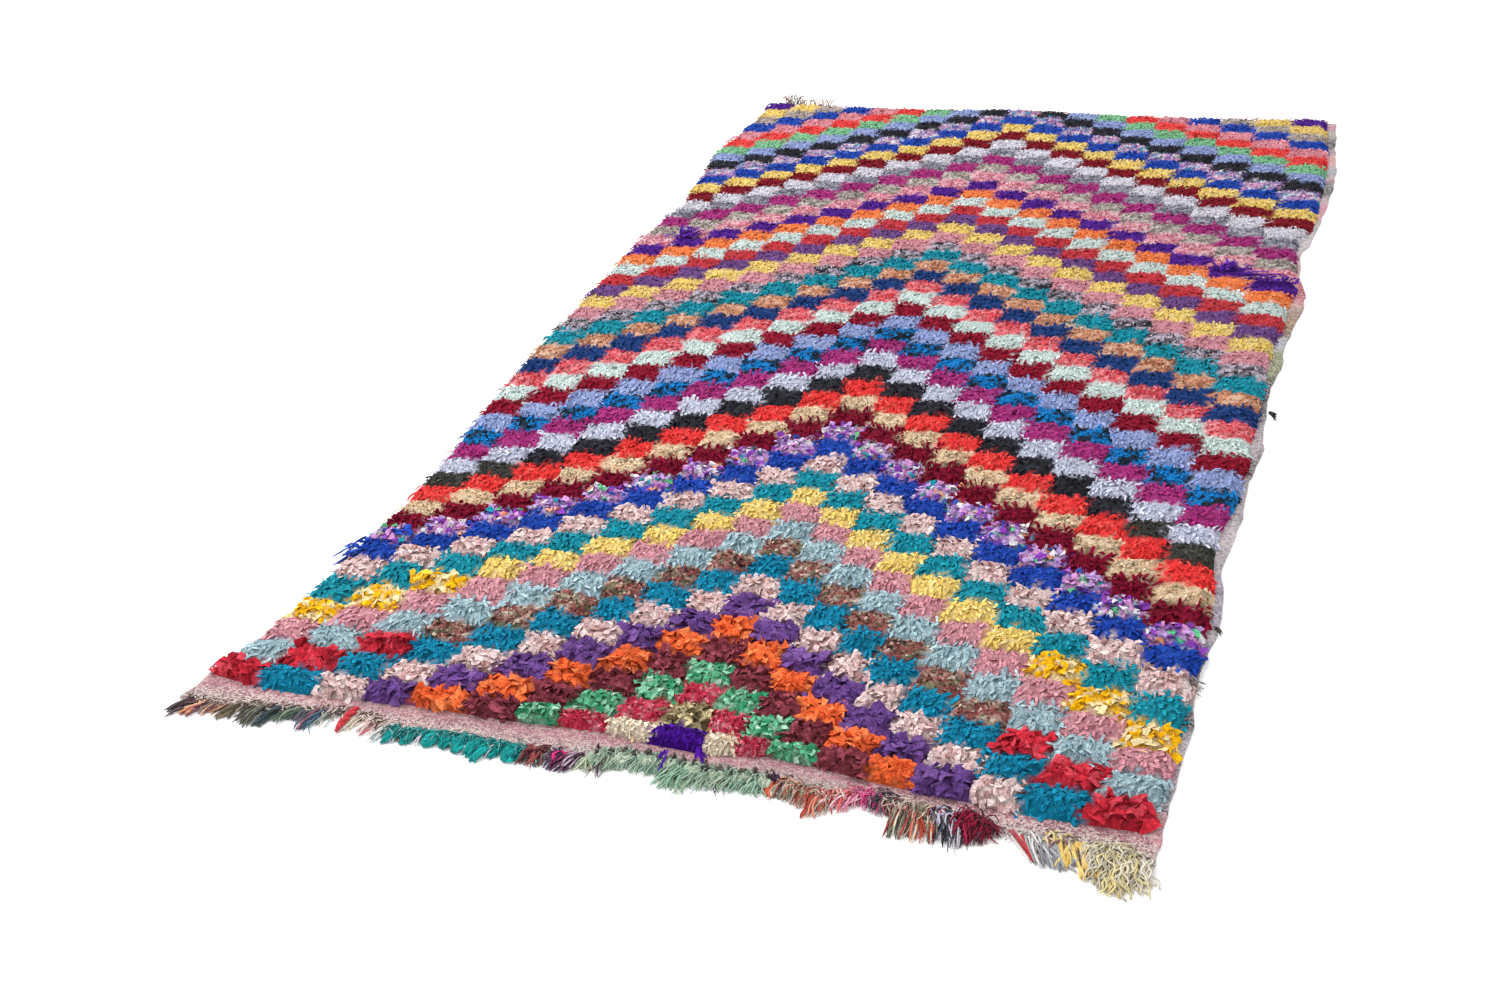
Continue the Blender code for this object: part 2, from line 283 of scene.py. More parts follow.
def knotPlace(column, row):
    # X and Y of points given in columns from the axis and rows from the near end: the even
    # lattice plus the shifts of the tables and two sine waves that make the blocks uneven;
    # the outer columns are drawn to each side's own line
    column, row = np.broadcast_arrays(np.asarray(column, float), np.asarray(row, float))
    guide = {name: np.interp(row, guides[:, 0], guides[:, k]) for k, name in enumerate(guideNames)}
    left = np.clip(-column / (outermost - 0.5), 0.0, None)
    right = np.clip(column / (outermost - 0.5), 0.0, None)
    axis = 1.0 - left - right
    halfWay = np.sin(np.pi * np.clip(left + right, 0.0, 1.0))
    x = rug["axisShift"] + column * rug["columnPitch"] - np.sign(column) * guide["bow"] * halfWay
    x = x + left * guide["leftX"] + axis * guide["axisX"] + right * guide["rightX"]
    y = rug["nearRowShift"] + row * rug["rowPitch"] + guide["dip"] * halfWay
    y = y + left * guide["leftY"] + axis * guide["axisY"] + right * guide["rightY"]
    x = x + np.interp(column, nearRow[:, 0], nearRow[:, 1]) * np.clip((1.5 - row) / 1.5, 0.0, 1.0)
    y = y + np.interp(column, nearRow[:, 0], nearRow[:, 2]) * np.clip(0.5 - row, 0.0, 1.0)
    x = x + np.interp(row, *innerShift[:, :2].T) * np.interp(column, (2, 6.5, 8.5), (0, 1, 0))
    x = x + np.interp(row, *innerShift[:, ::2].T) * np.interp(column, (6.5, 8.5, 9.5), (0, 1, 0))
    x = x + np.interp(row, *leftSide.T) * np.clip((-column - 7.5) / 2.0, 0.0, 1.0) ** 2
    calm = np.clip(outermost - np.abs(column), 0, 1) * np.clip(farSide - row, 0, 1)
    calm = calm * np.clip((row - 0.5) / 2, 0, 1)
    x = x + uneven["x"] * calm * (np.sin(1.9 * row + 2.3 * column) + np.sin(3.1 * row - 1.1 * column + 1))
    y = y + uneven["y"] * calm * (np.sin(2.2 * column + 1.3 * row) + np.sin(3.4 * column - 0.9 * row + 2))
    share = outermost / (outermost - 0.5)
    edge = rug["axisShift"] + outermost * rug["columnPitch"]
    edge = edge + share * guide["rightX"] + (1.0 - share) * guide["axisX"]
    gap = np.interp(row, rightSide[:, 0], rightSide[:, 1]) - edge
    return x + gap * np.clip((column - 7.5) / 2.0, 0.0, 1.0) ** 2, y


pileLook = {
    "groups": (3, 3, 2, 3, 2, 3, 3),        # columns in each piece, from the left
    "rows": (0, 6, 16, 47),                 # rows where these heights above the floor hold
    "valleys": (0.0115, 0.0125, 0.0140, 0.0140), "crowns": (0.0215, 0.0205, 0.0190, 0.0185),
    "rimFall": 0.020, "nearFall": 0.032,    # width of the slope to the ground at the rim
    "cellsAcross": 7, "cellsAlong": 6,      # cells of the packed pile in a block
    "lump": 0.0014, "shift": 0.28,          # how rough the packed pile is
    "border": 0.05, "deepShade": 0.66,       # ragged borders and painted shade in the depths
}


def pileHeight(column, row):
    # Packed pile: a crown on each block, down to the valleys and, at the rim, to the ground
    u = 2 * (column - np.round(column))
    v = 2 * (row - np.round(row))
    crown = (1 - np.abs(u) ** 4) * (1 - np.abs(v) ** 4)
    valley = np.interp(row, pileLook["rows"], pileLook["valleys"])
    height = valley + (np.interp(row, pileLook["rows"], pileLook["crowns"]) - valley) * crown
    sideways = (outermost - np.abs(column)) * rug["columnPitch"] / pileLook["rimFall"]
    onward = (farSide - row) * rug["rowPitch"] / pileLook["rimFall"]
    nearer = (row + 0.5) * rug["rowPitch"] / pileLook["nearFall"]
    inward = np.minimum(sideways, np.minimum(onward, nearer))
    fall = np.sqrt(1 - (1 - np.clip(inward, 0, 1)) ** 2)
    return rug["ground"] - 0.001 + (height - rug["ground"] + 0.001) * fall

# The cloth of each band

# Each cloth: its name, the kind of its strips, how much of a block it fills along the rug, and
# its colours, each with its share of the strips
cloths = {}
for line in """
    violet fine 1 4b1096:5 5a1aa8:1
    cream comb 1 fbead0:6 fff4e0:2 f4d0ac:1 f0d4c0:1
    darkCream medium 1 e8d6a8:4 9a8a64:2 5b4b33:2
    raspberry fleck 1 e04260:5 f298a8:2 c62a48:3
    jade medium 1 60b488:5 8ccaa8:3 36986c:2 b4dcc4:1
    maroon scrap 1 8c3c4a:5 a04c5a:2 7a3040:1
    orange wide 0.85 f8703c:5 ff8a52:2
    mutedPurple wide 0.9 6e4890:5 80589e:2
    blush medium 1 ecccca:5 f4dedc:2 dab0ae:1 b88c88:1
    cerulean fine 1.12 0f8cb2:5 1698be:2 0a7496:1
    brown fleck 0.85 a05a56:4 c8928a:2 4c3634:2 868a68:2 ecd8c8:1
    nearRed wide 0.8 d02e40:5 dc4858:2 a81e30:1
    greyBlue comb 1.08 a6c2cc:5 bcd6dc:2 8caab6:1
    dustyPink comb 1 d6929e:5 e2a6b0:2
    yellow comb 1 f8d674:5 fbe096:2
    brightYellow patch 1 ffc010:5 fbe4ae:2
    teal fine 1.15 1496ac:5 22a4b8:2
    royal fine 1.12 1c46b0:5 2a56c2:2
    lilac scrap 0.95 c8a4e0:7 dc9cd6:5 9448bc:5 f2eef4:4 1aa4b6:1 62c48a:1 f0a880:1 3c62be:1
    wine fine 1.3 80062a:5 941238:1
    tan fleck 0.72 f0cea8:6 f8e2c2:3 8c7c5c:1
    coral fine 1 f63c3c:5 fa5e56:1
    black fine 1.12 2a2a33:5 3c3c46:1
    charcoal fine 1 3f3f3c:5 54544c:1
    lavender comb 1.08 ccd0e6:5 dadcee:2
    magenta fine 1.12 b03080:5 c04892:1
    blueBlack clump 1 0e84d2:5 202c38:4
    periwinkle comb 1.08 96a6da:5 a8b6e0:2
    crimson fine 1.1 960f2e:5 a41c3c:1
    mintWhite comb 0.92 d2e4e0:5 deece8:2
    coralMottle fleck 0.86 f4646e:4 fa9ea6:3 e0444f:2
    navy fine 1.12 1e4282:5 2a5092:1
    salmon fleck 0.76 de9874:4 f4caae:3 a8664c:2
    pepper fleck 0.72 d8c8da:3 28282e:3 94909a:2
    rosePink fine 1 dc94a2:5 e8a8b2:2
    plainRed fine 1 ce3a44:5 d85258:1
    farPurple fine 1 744c8c:5 845a9a:2
    farYellow fine 1.02 f8d674:5 fbe096:2
    farMint fine 1 d6e6e2:5 e2eeea:2
    farLavender fine 0.94 dedae6:5 eae6f0:2
    farPeriwinkle fine 1 96a6da:5 a8b6e0:2
    farOrange fine 1 ff884c:5 ff9c66:1
    farViolet fine 1 541f94:5 662ca4:1
    pinkFleck fleck 0.9 ec94a8:4 f8c8d0:3 c9607c:1
    oliveGrey fleck 0.78 b8aca4:4 867e78:2 e0d8d2:2
    greyFleck fleck 0.88 9a98a8:4 c0c0ca:2 686678:2
    darkMaroon fine 1.12 8c1526:5 7a1020:1
    farLilac fleck 0.8 c9a0d0:4 f4ecf4:3 2a9cb4:2 6a4aa8:2 e89cb8:2
    farGreen fine 1 84c494:5 96d0a2:1
    farRed fine 1 f24444:5 f65e58:1
    farPink fine 1 e896a2:5 eea8b2:1
    tanGrey fleck 0.64 b8a8a0:4 8c7c74:2 d8c8c0:2
    """.strip().splitlines():
    name, kind, fill, *tones = line.split()
    cloths[name] = {"kind": kind, "fill": float(fill), "tones": {t[:6]: int(t[7:]) for t in tones}}
bands = """
    violet cream raspberry jade maroon orange mutedPurple blush cerulean brown greyBlue
    dustyPink yellow teal blush royal lilac wine tan coral black lavender magenta blueBlack
    periwinkle crimson mintWhite coralMottle navy salmon teal pepper rosePink farYellow
    farPurple plainRed farMint farOrange farViolet pinkFleck oliveGrey magenta greyFleck
    farLavender darkMaroon farYellow royal farLilac black farPeriwinkle farGreen farRed
    farPink royal tanGrey farYellow farViolet
    """.split()


def clothOf(column, row):
    # The cloth of a block: its band's, or another where the weaver ran out
    band = row + abs(column)
    if band == 9 and abs(column) >= 7:
        return "nearRed"
    if band == 12 and abs(column) >= 7:
        return "brightYellow"
    if band == 20 and abs(column) >= 8:
        return "charcoal"
    if band == 1 and column == 0:
        return "darkCream"
    return bands[band]


clothNames = list(cloths)
chart = np.array([[clothNames.index(clothOf(c, r)) for r in range(48)] for c in range(-9, 10)])


def clothAt(column, row):
    # Number of the cloth at points given in columns and rows
    c = np.clip(np.round(column), -9, 9).astype(int) + 9
    r = np.clip(np.round(row), 0, 47).astype(int)
    return chart[c, r]


plainKinds = {"clump": "fine", "patch": "medium"}
stripKinds = np.array([plainKinds.get(look["kind"], look["kind"]) for look in cloths.values()])
fills = np.array([look["fill"] for look in cloths.values()])


def pickTints(cloth, sections, x, y):
    # A tint for each section of each strip: alike along a strip but in flecked yarn, and in
    # clumps, where two colours part at the zero of a product of sines, in clumped cloth
    tints = np.zeros((len(cloth), sections, 3))
    clumps = np.sin(131 * x + 1.7 * np.sin(61 * y)) * np.sin(173 * y + 1.3 * np.sin(47 * x))
    vary = {"clump": 0.15, "clumpEdge": 0.12, "light": 0.05}
    for number in np.unique(cloth):
        kind, tones = cloths[clothNames[number]]["kind"], cloths[clothNames[number]]["tones"]
        colours = np.array([linear(tone) for tone in tones])
        share = np.array(list(tones.values()), float)
        mine = np.flatnonzero(cloth == number)
        picked = random.choice(len(colours), size=(len(mine), sections), p=share / share.sum())
        if kind in plainKinds:
            picked = clumps[mine] + random.normal(0, vary["clump"], len(mine)) > vary["clumpEdge"]
            picked = picked.astype(int)[:, None]
        if kind != "fleck":
            picked = np.broadcast_to(picked[:, :1], (len(mine), sections))
        tints[mine] = colours[picked]
    return tints * random.normal(1, vary["light"], (len(cloth), 1, 1))

# Rag strips and the packed pile under them

strips = {
    # across, along: strips in a block; sizes in metres; fan, curl and roll in radians
    "wide": dict(across=5, along=5, reach=0.0180, width=0.0190, thick=0.0011, fold=0.0040, loop=4, sections=4,
                 rise=0.0042, droop=0.0020, sway=0.0028, fan=0.80, curl=0.60, roll=0.45, tip=0.95,
                 crumple=0.0015),
    "scrap": dict(across=6, along=5, reach=0.0130, width=0.0125, thick=0.0012, fold=0.0032, loop=4,
                  sections=4, rise=0.0045, droop=0.0010, sway=0.0030, fan=1.10, curl=1.10, roll=0.60,
                  tip=0.90, crumple=0.0010),
    "medium": dict(across=8, along=5, reach=0.0125, width=0.0104, thick=0.0012, fold=0.0014, loop=4,
                   sections=3, rise=0.0030, droop=0.0015, sway=0.0024, fan=0.55, curl=0.50, roll=0.42,
                   tip=0.80, crumple=0.0008),
    "comb": dict(across=8, along=6, reach=0.0138, width=0.0068, thick=0.0016, fold=0.0, loop=3, sections=3,
                 rise=0.0024, droop=0.0015, sway=0.0014, fan=0.38, curl=0.40, roll=0.34, tip=0.60,
                 crumple=0.0005),
    "fine": dict(across=8, along=7, reach=0.0105, width=0.0068, thick=0.0018, fold=0.0, loop=3, sections=3,
                 rise=0.0024, droop=0.0010, sway=0.0019, fan=0.44, curl=0.35, roll=0.38, tip=0.60,
                 crumple=0.0005),
    "fleck": dict(across=8, along=6, reach=0.0088, width=0.0056, thick=0.0024, fold=0.0, loop=3, sections=3,
                  rise=0.0034, droop=0.0010, sway=0.0026, fan=1.00, curl=0.90, roll=0.60, tip=0.75,
                  crumple=0.0008),
}
lie = {
    "farShare": 0.24, "senseSpread": 0.25,      # share of the strips that lie to the far end
    "middle": 0.55, "jitter": 0.6,              # where a strip crosses its place, and how far that strays
    "splay": 0.8, "blockShift": 0.03,           # how strips turn out to a block's sides
    "reachSpread": 0.28, "riseSpread": 0.3, "widthSpread": 0.22,
    "sink": 0.003, "fillRise": 0.007, "highest": 0.036,     # metres
    # base and tip: painted shade, darker at a strip's root in the pile and lighter towards its tip
    "base": 0.64, "tip": 0.98, "blockLight": 0.035, "stripLight": 0.06,
}
lightBase = {"comb": 0.79, "medium": 0.72}      # painted shade at a strip's root; flatter cloth is nearly as light at its base
lightByRow = ((0, 1.0), (10, 1.0), (15, 0.96), (22, 0.88), (33, 0.87), (40, 0.97))
strideByRow = ((0, 1.12), (10, 1.0), (26, 0.9), (47, 0.85))     # strips get finer to the far end
mapShare = {"packed": 0.21, "bottom": 0.03}     # parts of the map's height


def unit(vectors):
    return vectors / np.maximum(np.linalg.norm(vectors, axis=-1, keepdims=True), 1e-9)


def ringsAlong(points, roll, width, thick, fold, loop):
    # Rings round paths: the side lies level, then turns by roll; fold lifts both edges
    tangent = unit(np.gradient(points, axis=1))
    side = unit(np.cross([0.0, 0.0, 1.0], tangent + [1e-6, 0, 0]))
    upward = np.cross(tangent, side)
    turn = np.asarray(roll)[..., None]
    side, upward = side * np.cos(turn) + upward * np.sin(turn), upward * np.cos(turn) - side * np.sin(turn)
    angle = 2 * np.pi * (np.arange(loop) + (0.25 if loop == 3 else 0.0)) / loop
    sideways = width[..., None] / 2 * np.cos(angle)
    upwards = thick[..., None] / 2 * np.sin(angle) + fold[..., None] * (np.abs(np.cos(angle)) - 0.5)
    return (points[..., None, :] + side[..., None, :] * sideways[..., None]
            + upward[..., None, :] * upwards[..., None])


def tubeFaces(count, sections, loop, firstCell, cells, box):
    # Walls and end caps of tubes, each with its place in its own cell of the map's box
    x0, y0, x1, y1 = box
    across = int(np.ceil(np.sqrt(cells * (x1 - x0) / (y1 - y0))))
    down = int(np.ceil(cells / across))
    cell = firstCell + np.arange(count)
    corner = np.stack([x0 + (x1 - x0) * (cell % across) / across,
                       y0 + (y1 - y0) * (cell // across) / down], -1)
    size = np.array([(x1 - x0) / across, (y1 - y0) / down])

    def placed(local):
        # Places in every tube's cell, with a margin round them
        return corner[:, None, None, :] + size * (0.06 + 0.88 * local)

    start = np.arange(count)[:, None, None] * sections * loop
    i, j = np.meshgrid(np.arange(sections - 1), np.arange(loop), indexing="ij")
    i, j = i.ravel(), j.ravel()
    k = (j + 1) % loop
    ahead = i + 1
    walls = np.stack([i * loop + j, i * loop + k, ahead * loop + k, ahead * loop + j], -1)
    walls = start[:, 0, :, None] + walls
    local = np.stack([np.stack([j, j + 1, j + 1, j], -1) / loop,
                      np.stack([i, i, ahead, ahead], -1) / sections], -1)
    ring = np.arange(loop)
    turn = 2 * np.pi * ring / loop
    round0 = np.stack([0.25 + 0.2 * np.cos(turn), 1 - (0.5 + 0.42 * np.sin(turn)) / sections], -1)
    round1 = np.stack([0.75 + 0.2 * np.cos(turn), 1 - (0.5 - 0.42 * np.sin(turn)) / sections], -1)
    caps = start[:, 0, :, None] + np.stack([ring[::-1], (sections - 1) * loop + ring])
    return [(walls.reshape(-1, 4), placed(local[None]).reshape(-1, 4, 2)),
            (caps.reshape(-1, loop), placed(np.stack([round0[::-1], round1])[None]).reshape(-1, loop, 2))]


def stripPart(kind, column, row, firstCell, cells):
    # Strips in blocks: each rises from the packed pile, crosses its place and lies over the pile;
    # height is the pile's plus a quarter sine wave, less a straight droop in the outer half
    look = strips[kind]
    across, along, sections, loop = look["across"], look["along"], look["sections"], look["loop"]
    blocks, perBlock = len(column), across * along
    count = blocks * perBlock
    u, v = np.meshgrid((np.arange(across) + 0.5) / across - 0.5, (np.arange(along) + 0.5) / along - 0.5)
    jitter = lie["jitter"]
    u = np.tile(u.ravel(), blocks) + random.uniform(-jitter, jitter, count) / across
    v = np.tile(v.ravel(), blocks) + random.uniform(-jitter, jitter, count) / along
    cloth = np.repeat(clothAt(column, row), perBlock)
    fill = fills[cloth]
    u = np.clip(u, -0.47, 0.47) * (0.5 + 0.5 * fill)
    v = np.clip(v, -0.46, 0.46) * fill
    shift = np.repeat(random.normal(0, lie["blockShift"], (blocks, 2)), perBlock, 0)
    sense = np.where(v + random.normal(0, lie["senseSpread"], count) > 0.5 - lie["farShare"], 1, -1)
    heading = sense * (np.pi / 2 - lie["splay"] * u) + random.normal(0, look["fan"], count)
    scale = np.repeat(np.interp(row, *zip(*strideByRow)), perBlock)
    reach = look["reach"] * scale * (0.4 + 0.6 * fill)
    reach = reach * np.clip(random.normal(1, lie["reachSpread"], count), 0.4, 1.8)
    s = np.linspace(0, 1, sections)[None, :]
    turn = heading[:, None] + random.normal(0, look["curl"], (count, 1)) * s
    along = reach[:, None] * (s - lie["middle"])
    c = (np.repeat(column, perBlock) + u + shift[:, 0])[:, None] + np.cos(turn) * along / rug["columnPitch"]
    r = (np.repeat(row, perBlock) + v + shift[:, 1])[:, None] + np.sin(turn) * along / rug["rowPitch"]
    rise = look["rise"] * scale * np.clip(random.normal(1, lie["riseSpread"], count), 0.3, 1.9)
    droop = random.normal(look["droop"], look["sway"], count)[:, None]
    lift = (rise[:, None] + lie["sink"]) * np.sin(np.minimum(s * 1.7, 1) * np.pi / 2) - lie["sink"]
    lift = lift - droop * np.clip(s - 0.5, 0, 1) * 2
    x, y = knotPlace(c, r)
    points = np.stack([x, y, pileHeight(c, r) + lift + lie["fillRise"] * (fill[:, None] - 1)], -1)
    width = (look["width"] * scale * np.clip(random.normal(1, lie["widthSpread"], count), 0.5, 1.7))[:, None]
    width = width * (1 - 0.25 * (1 - s) - (1 - look["tip"]) * s ** 3)
    thick = np.full(width.shape, look["thick"])
    fold = look["fold"] * random.normal(0, 1, width.shape)
    roll = look["roll"] * (random.normal(0, 1, (count, 1)) + random.normal(0, 0.7, (count, 1)) * s)
    rings = ringsAlong(points, roll, width, thick, fold, loop)
    rings = rings + random.normal(0, look["crumple"], rings.shape)
    rings[..., 2] = np.clip(rings[..., 2], rug["ground"] - 0.0005, lie["highest"])
    blockLight = random.normal(1, lie["blockLight"], blocks) * np.interp(row, *zip(*lightByRow))
    light = np.repeat(blockLight, perBlock) * random.normal(1, lie["stripLight"], count)
    base = lightBase.get(kind, lie["base"])
    tints = pickTints(cloth, sections, x[:, 0], y[:, 0]) * light[:, None, None]
    # Painted shade: each strip darker at its root in the pile, lighter towards its tip
    tints = tints * (base + (lie["tip"] - base) * s ** 0.7)[..., None]
    tints = np.broadcast_to(tints[:, :, None, :], rings.shape)
    box = (0.0, mapShare["packed"] + mapShare["bottom"], 1.0, 1.0)
    return rings.reshape(-1, 3), tints.reshape(-1, 3), tubeFaces(count, sections, loop, firstCell, cells, box)


def gridFaces(across, along, box):
    # Quads of a grid whose second index runs fastest, and their places in the map's box
    x0, y0, x1, y1 = box
    i, j = np.meshgrid(np.arange(across - 1), np.arange(along - 1), indexing="ij")
    corners = np.stack([np.stack([i, i + 1, i + 1, i], -1), np.stack([j, j, j + 1, j + 1], -1)], -1)
    corners = corners.reshape(-1, 4, 2)
    faces = corners[..., 0] * along + corners[..., 1]
    places = np.stack([x0 + (x1 - x0) * corners[..., 1] / (along - 1),
                       y0 + (y1 - y0) * corners[..., 0] / (across - 1)], -1)
    return faces, places


def rimOf(across, along):
    # Corner numbers round a grid's edge, against the clock as seen from above
    i = np.arange(across)
    j = np.arange(along)
    return np.concatenate([i * along, (across - 1) * along + j[1:],
                           i[-2::-1] * along + along - 1, j[-2:0:-1]])


def packedPart(first, last):
    # Packed pile of some columns: block crowns with lumps, closed by walls and a flat bottom
    look = pileLook
    a = np.linspace(first - 0.5, last + 0.5, (last - first + 1) * look["cellsAcross"] + 1)
    b = np.linspace(-0.5, farSide, rug["rows"] * look["cellsAlong"] + 1)
    a = np.concatenate([a[:1], a, a[-1:]])
    b = np.concatenate([b[:1], b, b[-1:]])
    column, row = np.meshgrid(a, b, indexing="ij")
    inside = np.zeros(column.shape, bool)
    inside[2:-2, 2:-2] = True
    moved = random.normal(0, look["shift"], (2,) + column.shape) * inside
    column = column + moved[0] / look["cellsAcross"]
    row = row + moved[1] / look["cellsAlong"]
    x, y = knotPlace(column, row)
    z = pileHeight(column, row) + random.normal(0, look["lump"], column.shape) * inside
    z[[0, -1], :] = rug["ground"] - 0.001
    z[:, [0, -1]] = rug["ground"] - 0.001
    points = np.stack([x, y, z], -1).reshape(-1, 3)
    ragged = random.normal(0, look["border"], (2,) + column.shape)
    cloth = clothAt(np.clip(column + ragged[0], first - 0.5, last + 0.5), row + 1.4 * ragged[1])
    # Painted shade: the packed pile's colour is darkened where it lies deep under the strips
    tints = pickTints(cloth.ravel(), 1, x.ravel(), y.ravel())[:, 0] * look["deepShade"]
    across, along = column.shape
    top = gridFaces(across, along, (0.0, 0.0, 1.0, mapShare["packed"]))
    rim = rimOf(across, along)[::-1]
    low, high = points[:, :2].min(0), points[:, :2].max(0)
    flat = ((points[rim, :2] - low) / (high - low))[:, ::-1] * [1.0, 0.8 * mapShare["bottom"]]
    flat = flat + [0.0, mapShare["packed"] + 0.1 * mapShare["bottom"]]
    return points, tints, [top, (rim[None], flat[None])]


def meshPiece(name, parts, material, node, smooth=False):
    # One mesh of parts, each of points, tints and pairs of faces and places on the map; the
    # piece rides on the rug's body and stands for one of its nodes
    points = np.concatenate([part[0] for part in parts])
    tints = np.concatenate([part[1] for part in parts])
    starts = np.cumsum([0] + [len(part[0]) for part in parts])
    faces = [(corners + start, places) for start, part in zip(starts, parts) for corners, places in part[2]]
    corners = np.concatenate([f.ravel() for f, _ in faces])
    places = np.concatenate([p.reshape(-1, 2) for _, p in faces])
    sizes = np.concatenate([np.full(len(f), f.shape[1]) for f, _ in faces])
    data = bpy.data.meshes.new(name)
    data.vertices.add(len(points))
    data.vertices.foreach_set("co", points.astype(np.float32).ravel())
    data.loops.add(len(corners))
    data.loops.foreach_set("vertex_index", corners.astype(np.int32))
    data.polygons.add(len(sizes))
    data.polygons.foreach_set("loop_start", np.concatenate([[0], np.cumsum(sizes)[:-1]]).astype(np.int32))
    data.update(calc_edges=True)
    data.polygons.foreach_set("use_smooth", np.full(len(sizes), smooth))
    data.uv_layers.new(name="OFBake").data.foreach_set("uv", places.astype(np.float32).ravel())
    colour = data.color_attributes.new("tint", "FLOAT_COLOR", "POINT")
    shown = np.concatenate([np.clip(tints, 0, 1), np.ones((len(tints), 1))], 1)
    colour.data.foreach_set("color", shown.astype(np.float32).ravel())
    data.materials.append(material)
    piece = bpy.data.objects.new(name, data)
    bpy.context.scene.collection.objects.link(piece)
    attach(piece, body)
    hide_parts(node)
    return piece


def triangles(pieces):
    return sum(len(piece.data.loops) - 2 * len(piece.data.polygons) for piece in pieces)


def makePile(first, last):
    # All the strips of some columns and the packed pile under them, as one piece
    column, row = np.meshgrid(np.arange(first, last + 1), np.arange(rug["rows"]), indexing="ij")
    column, row = column.ravel(), row.ravel()
    kinds = stripKinds[clothAt(column, row)]
    counts = {kind: int((kinds == kind).sum()) * look["across"] * look["along"]
              for kind, look in strips.items()}
    cells, firstCell, parts = sum(counts.values()), 0, [packedPart(first, last)]
    for kind, count in counts.items():
        if count:
            mine = kinds == kind
            parts.append(stripPart(kind, column[mine], row[mine], firstCell, cells))
            firstCell += count
    return meshPiece(f"pile_columns_{first + 10}_to_{last + 10}", parts, ragCloth, "rug")


edges = np.cumsum((0,) + pileLook["groups"]) - 9
pile = [makePile(int(first), int(last) - 1) for first, last in zip(edges, edges[1:])]
print("pile:", triangles(pile), "triangles, at most", max(triangles([piece]) for piece in pile), "in one")

# Ground cloth: hem at the near end, selvedges, and the backs of the knots underneath

groundLook = {
    "columnLines": (-0.485, 0.485), "rowLines": (-0.485, -0.15, 0.485),     # in a block, in pitches
    "hemLines": 10, "leftLines": 2, "rightLines": 5, "farLines": 2,
    "ripple": 0.0032, "rippleX": 0.30, "rippleWidth": 0.10, "swell": 0.0007, "puff": 0.0006,
    "edgeWave": 0.0008, "sideWave": 0.0012, "sideDrop": 0.0018, "endDrop": 0.0012,
    "hemTint": "c48c96", "hemEdgeTint": "b9a9a6", "backShade": 0.80, "sideShade": 0.85,
    "roughness": 0.95, "sheen": 0.05, "sheenTint": (1.0, 0.97, 0.96),
    "warpPitch": 0.0046, "weftPitch": 0.0036, "warpSlant": 0.8, "weftSlant": -0.3,
    "bumpScale": 500.0, "bumpStrength": 0.9, "bumpDistance": 0.0013, "cloudScale": 60.0,
    "fleckScale": 400.0, "lightFleck": (0.76, 0.68, 0.62), "darkFleck": (0.13, 0.08, 0.09),
    "lightShare": 0.36, "darkShare": 0.20,
    "plainFleck": 0.45, "hemFleck": 0.80,    # strength of the flecks on the cloth and at the hem's edge
    "hemStart": -1.286, "hemEnd": -1.308,    # y between which the flecks grow
}
# The hem's edge: x and y of points along it
hemLine = table("""
    -780 -1335  -730 -1339  -656 -1329  -512 -1311  -453 -1311  -419 -1333  -352 -1327  -311 -1325
    -222 -1325  -148 -1325  -106 -1318  -72 -1305  -24 -1300  34 -1301  85 -1307  123 -1305  164 -1301
    191 -1303  249 -1316  278 -1304  311 -1303  346 -1311  437 -1318  491 -1328  561 -1327  605 -1332
    636 -1332  684 -1342
    """, 1000, 1000)
hemLeast = 0.010       # metres of hem that show past the pile at the least
# Colours of the ground weave at the sides, by row from the near end
selvedgeTints = tuple(zip(*[iter("""
    0 c08c96 0.5 c5949c 0.52 3c4268 0.8 3c4268 0.9 e2dce4 1.2 c8bcc8 1.8 b8a0a8 2.1 8c88b0 2.3 c0b0bc
    2.6 54506c 2.8 d8d0dc 3.1 8c88a0 3.3 dcd6e0 3.6 a8a4b0 3.7 2c2c34 4.1 34343c 4.3 c0b0b4 5.2 c8b4b4
    6.1 a8a494 6.4 2c4a78 6.8 345080 7.0 d8c8cc 7.6 bcb0bc 8.5 a8a0b4 10.2 aca4b6 11.0 b8acb4 12.4 dcd0d4
    13.2 a8a0a8 14.5 c8b8c0 15.3 b0a8b0 16.0 5c5860 16.5 6c6870 17.1 b8acb4 18.5 b0a4b0 19.2 b8b4bc
    19.6 5c5860 20.3 4a4a5c 21.5 54546c 21.9 5c6048 22.2 8c966c 23.6 8c986e 24.1 a8b090 24.4 b8bcc8
    25.2 b4bac8 25.5 8c7060 26.6 b08c6c 27.2 9c8c88 27.7 c8a49c 28.2 d0949c 28.5 d06c80 29.8 d06c80
    30.4 e0909c 31.2 d8a8b0 33.0 d8d0d4 35.0 d4ccd0 35.7 c8c0bc 36.2 e09cac 37.5 e09cac 38.1 d8ccd0
    38.8 6c6c74 39.5 6c6c74 39.9 8c8488 40.6 c8a0a8 41.2 b0bccc 41.8 b8b8c4 42.3 e8a8a4 43.4 e8a8a8
    43.9 b0a0a8 44.4 4c4c58 45.3 5c5a60 45.7 b0aaa6 46.5 c0b8b0 46.8 dc9cb0 47.5 dc9cb0
    """.split())] * 2))


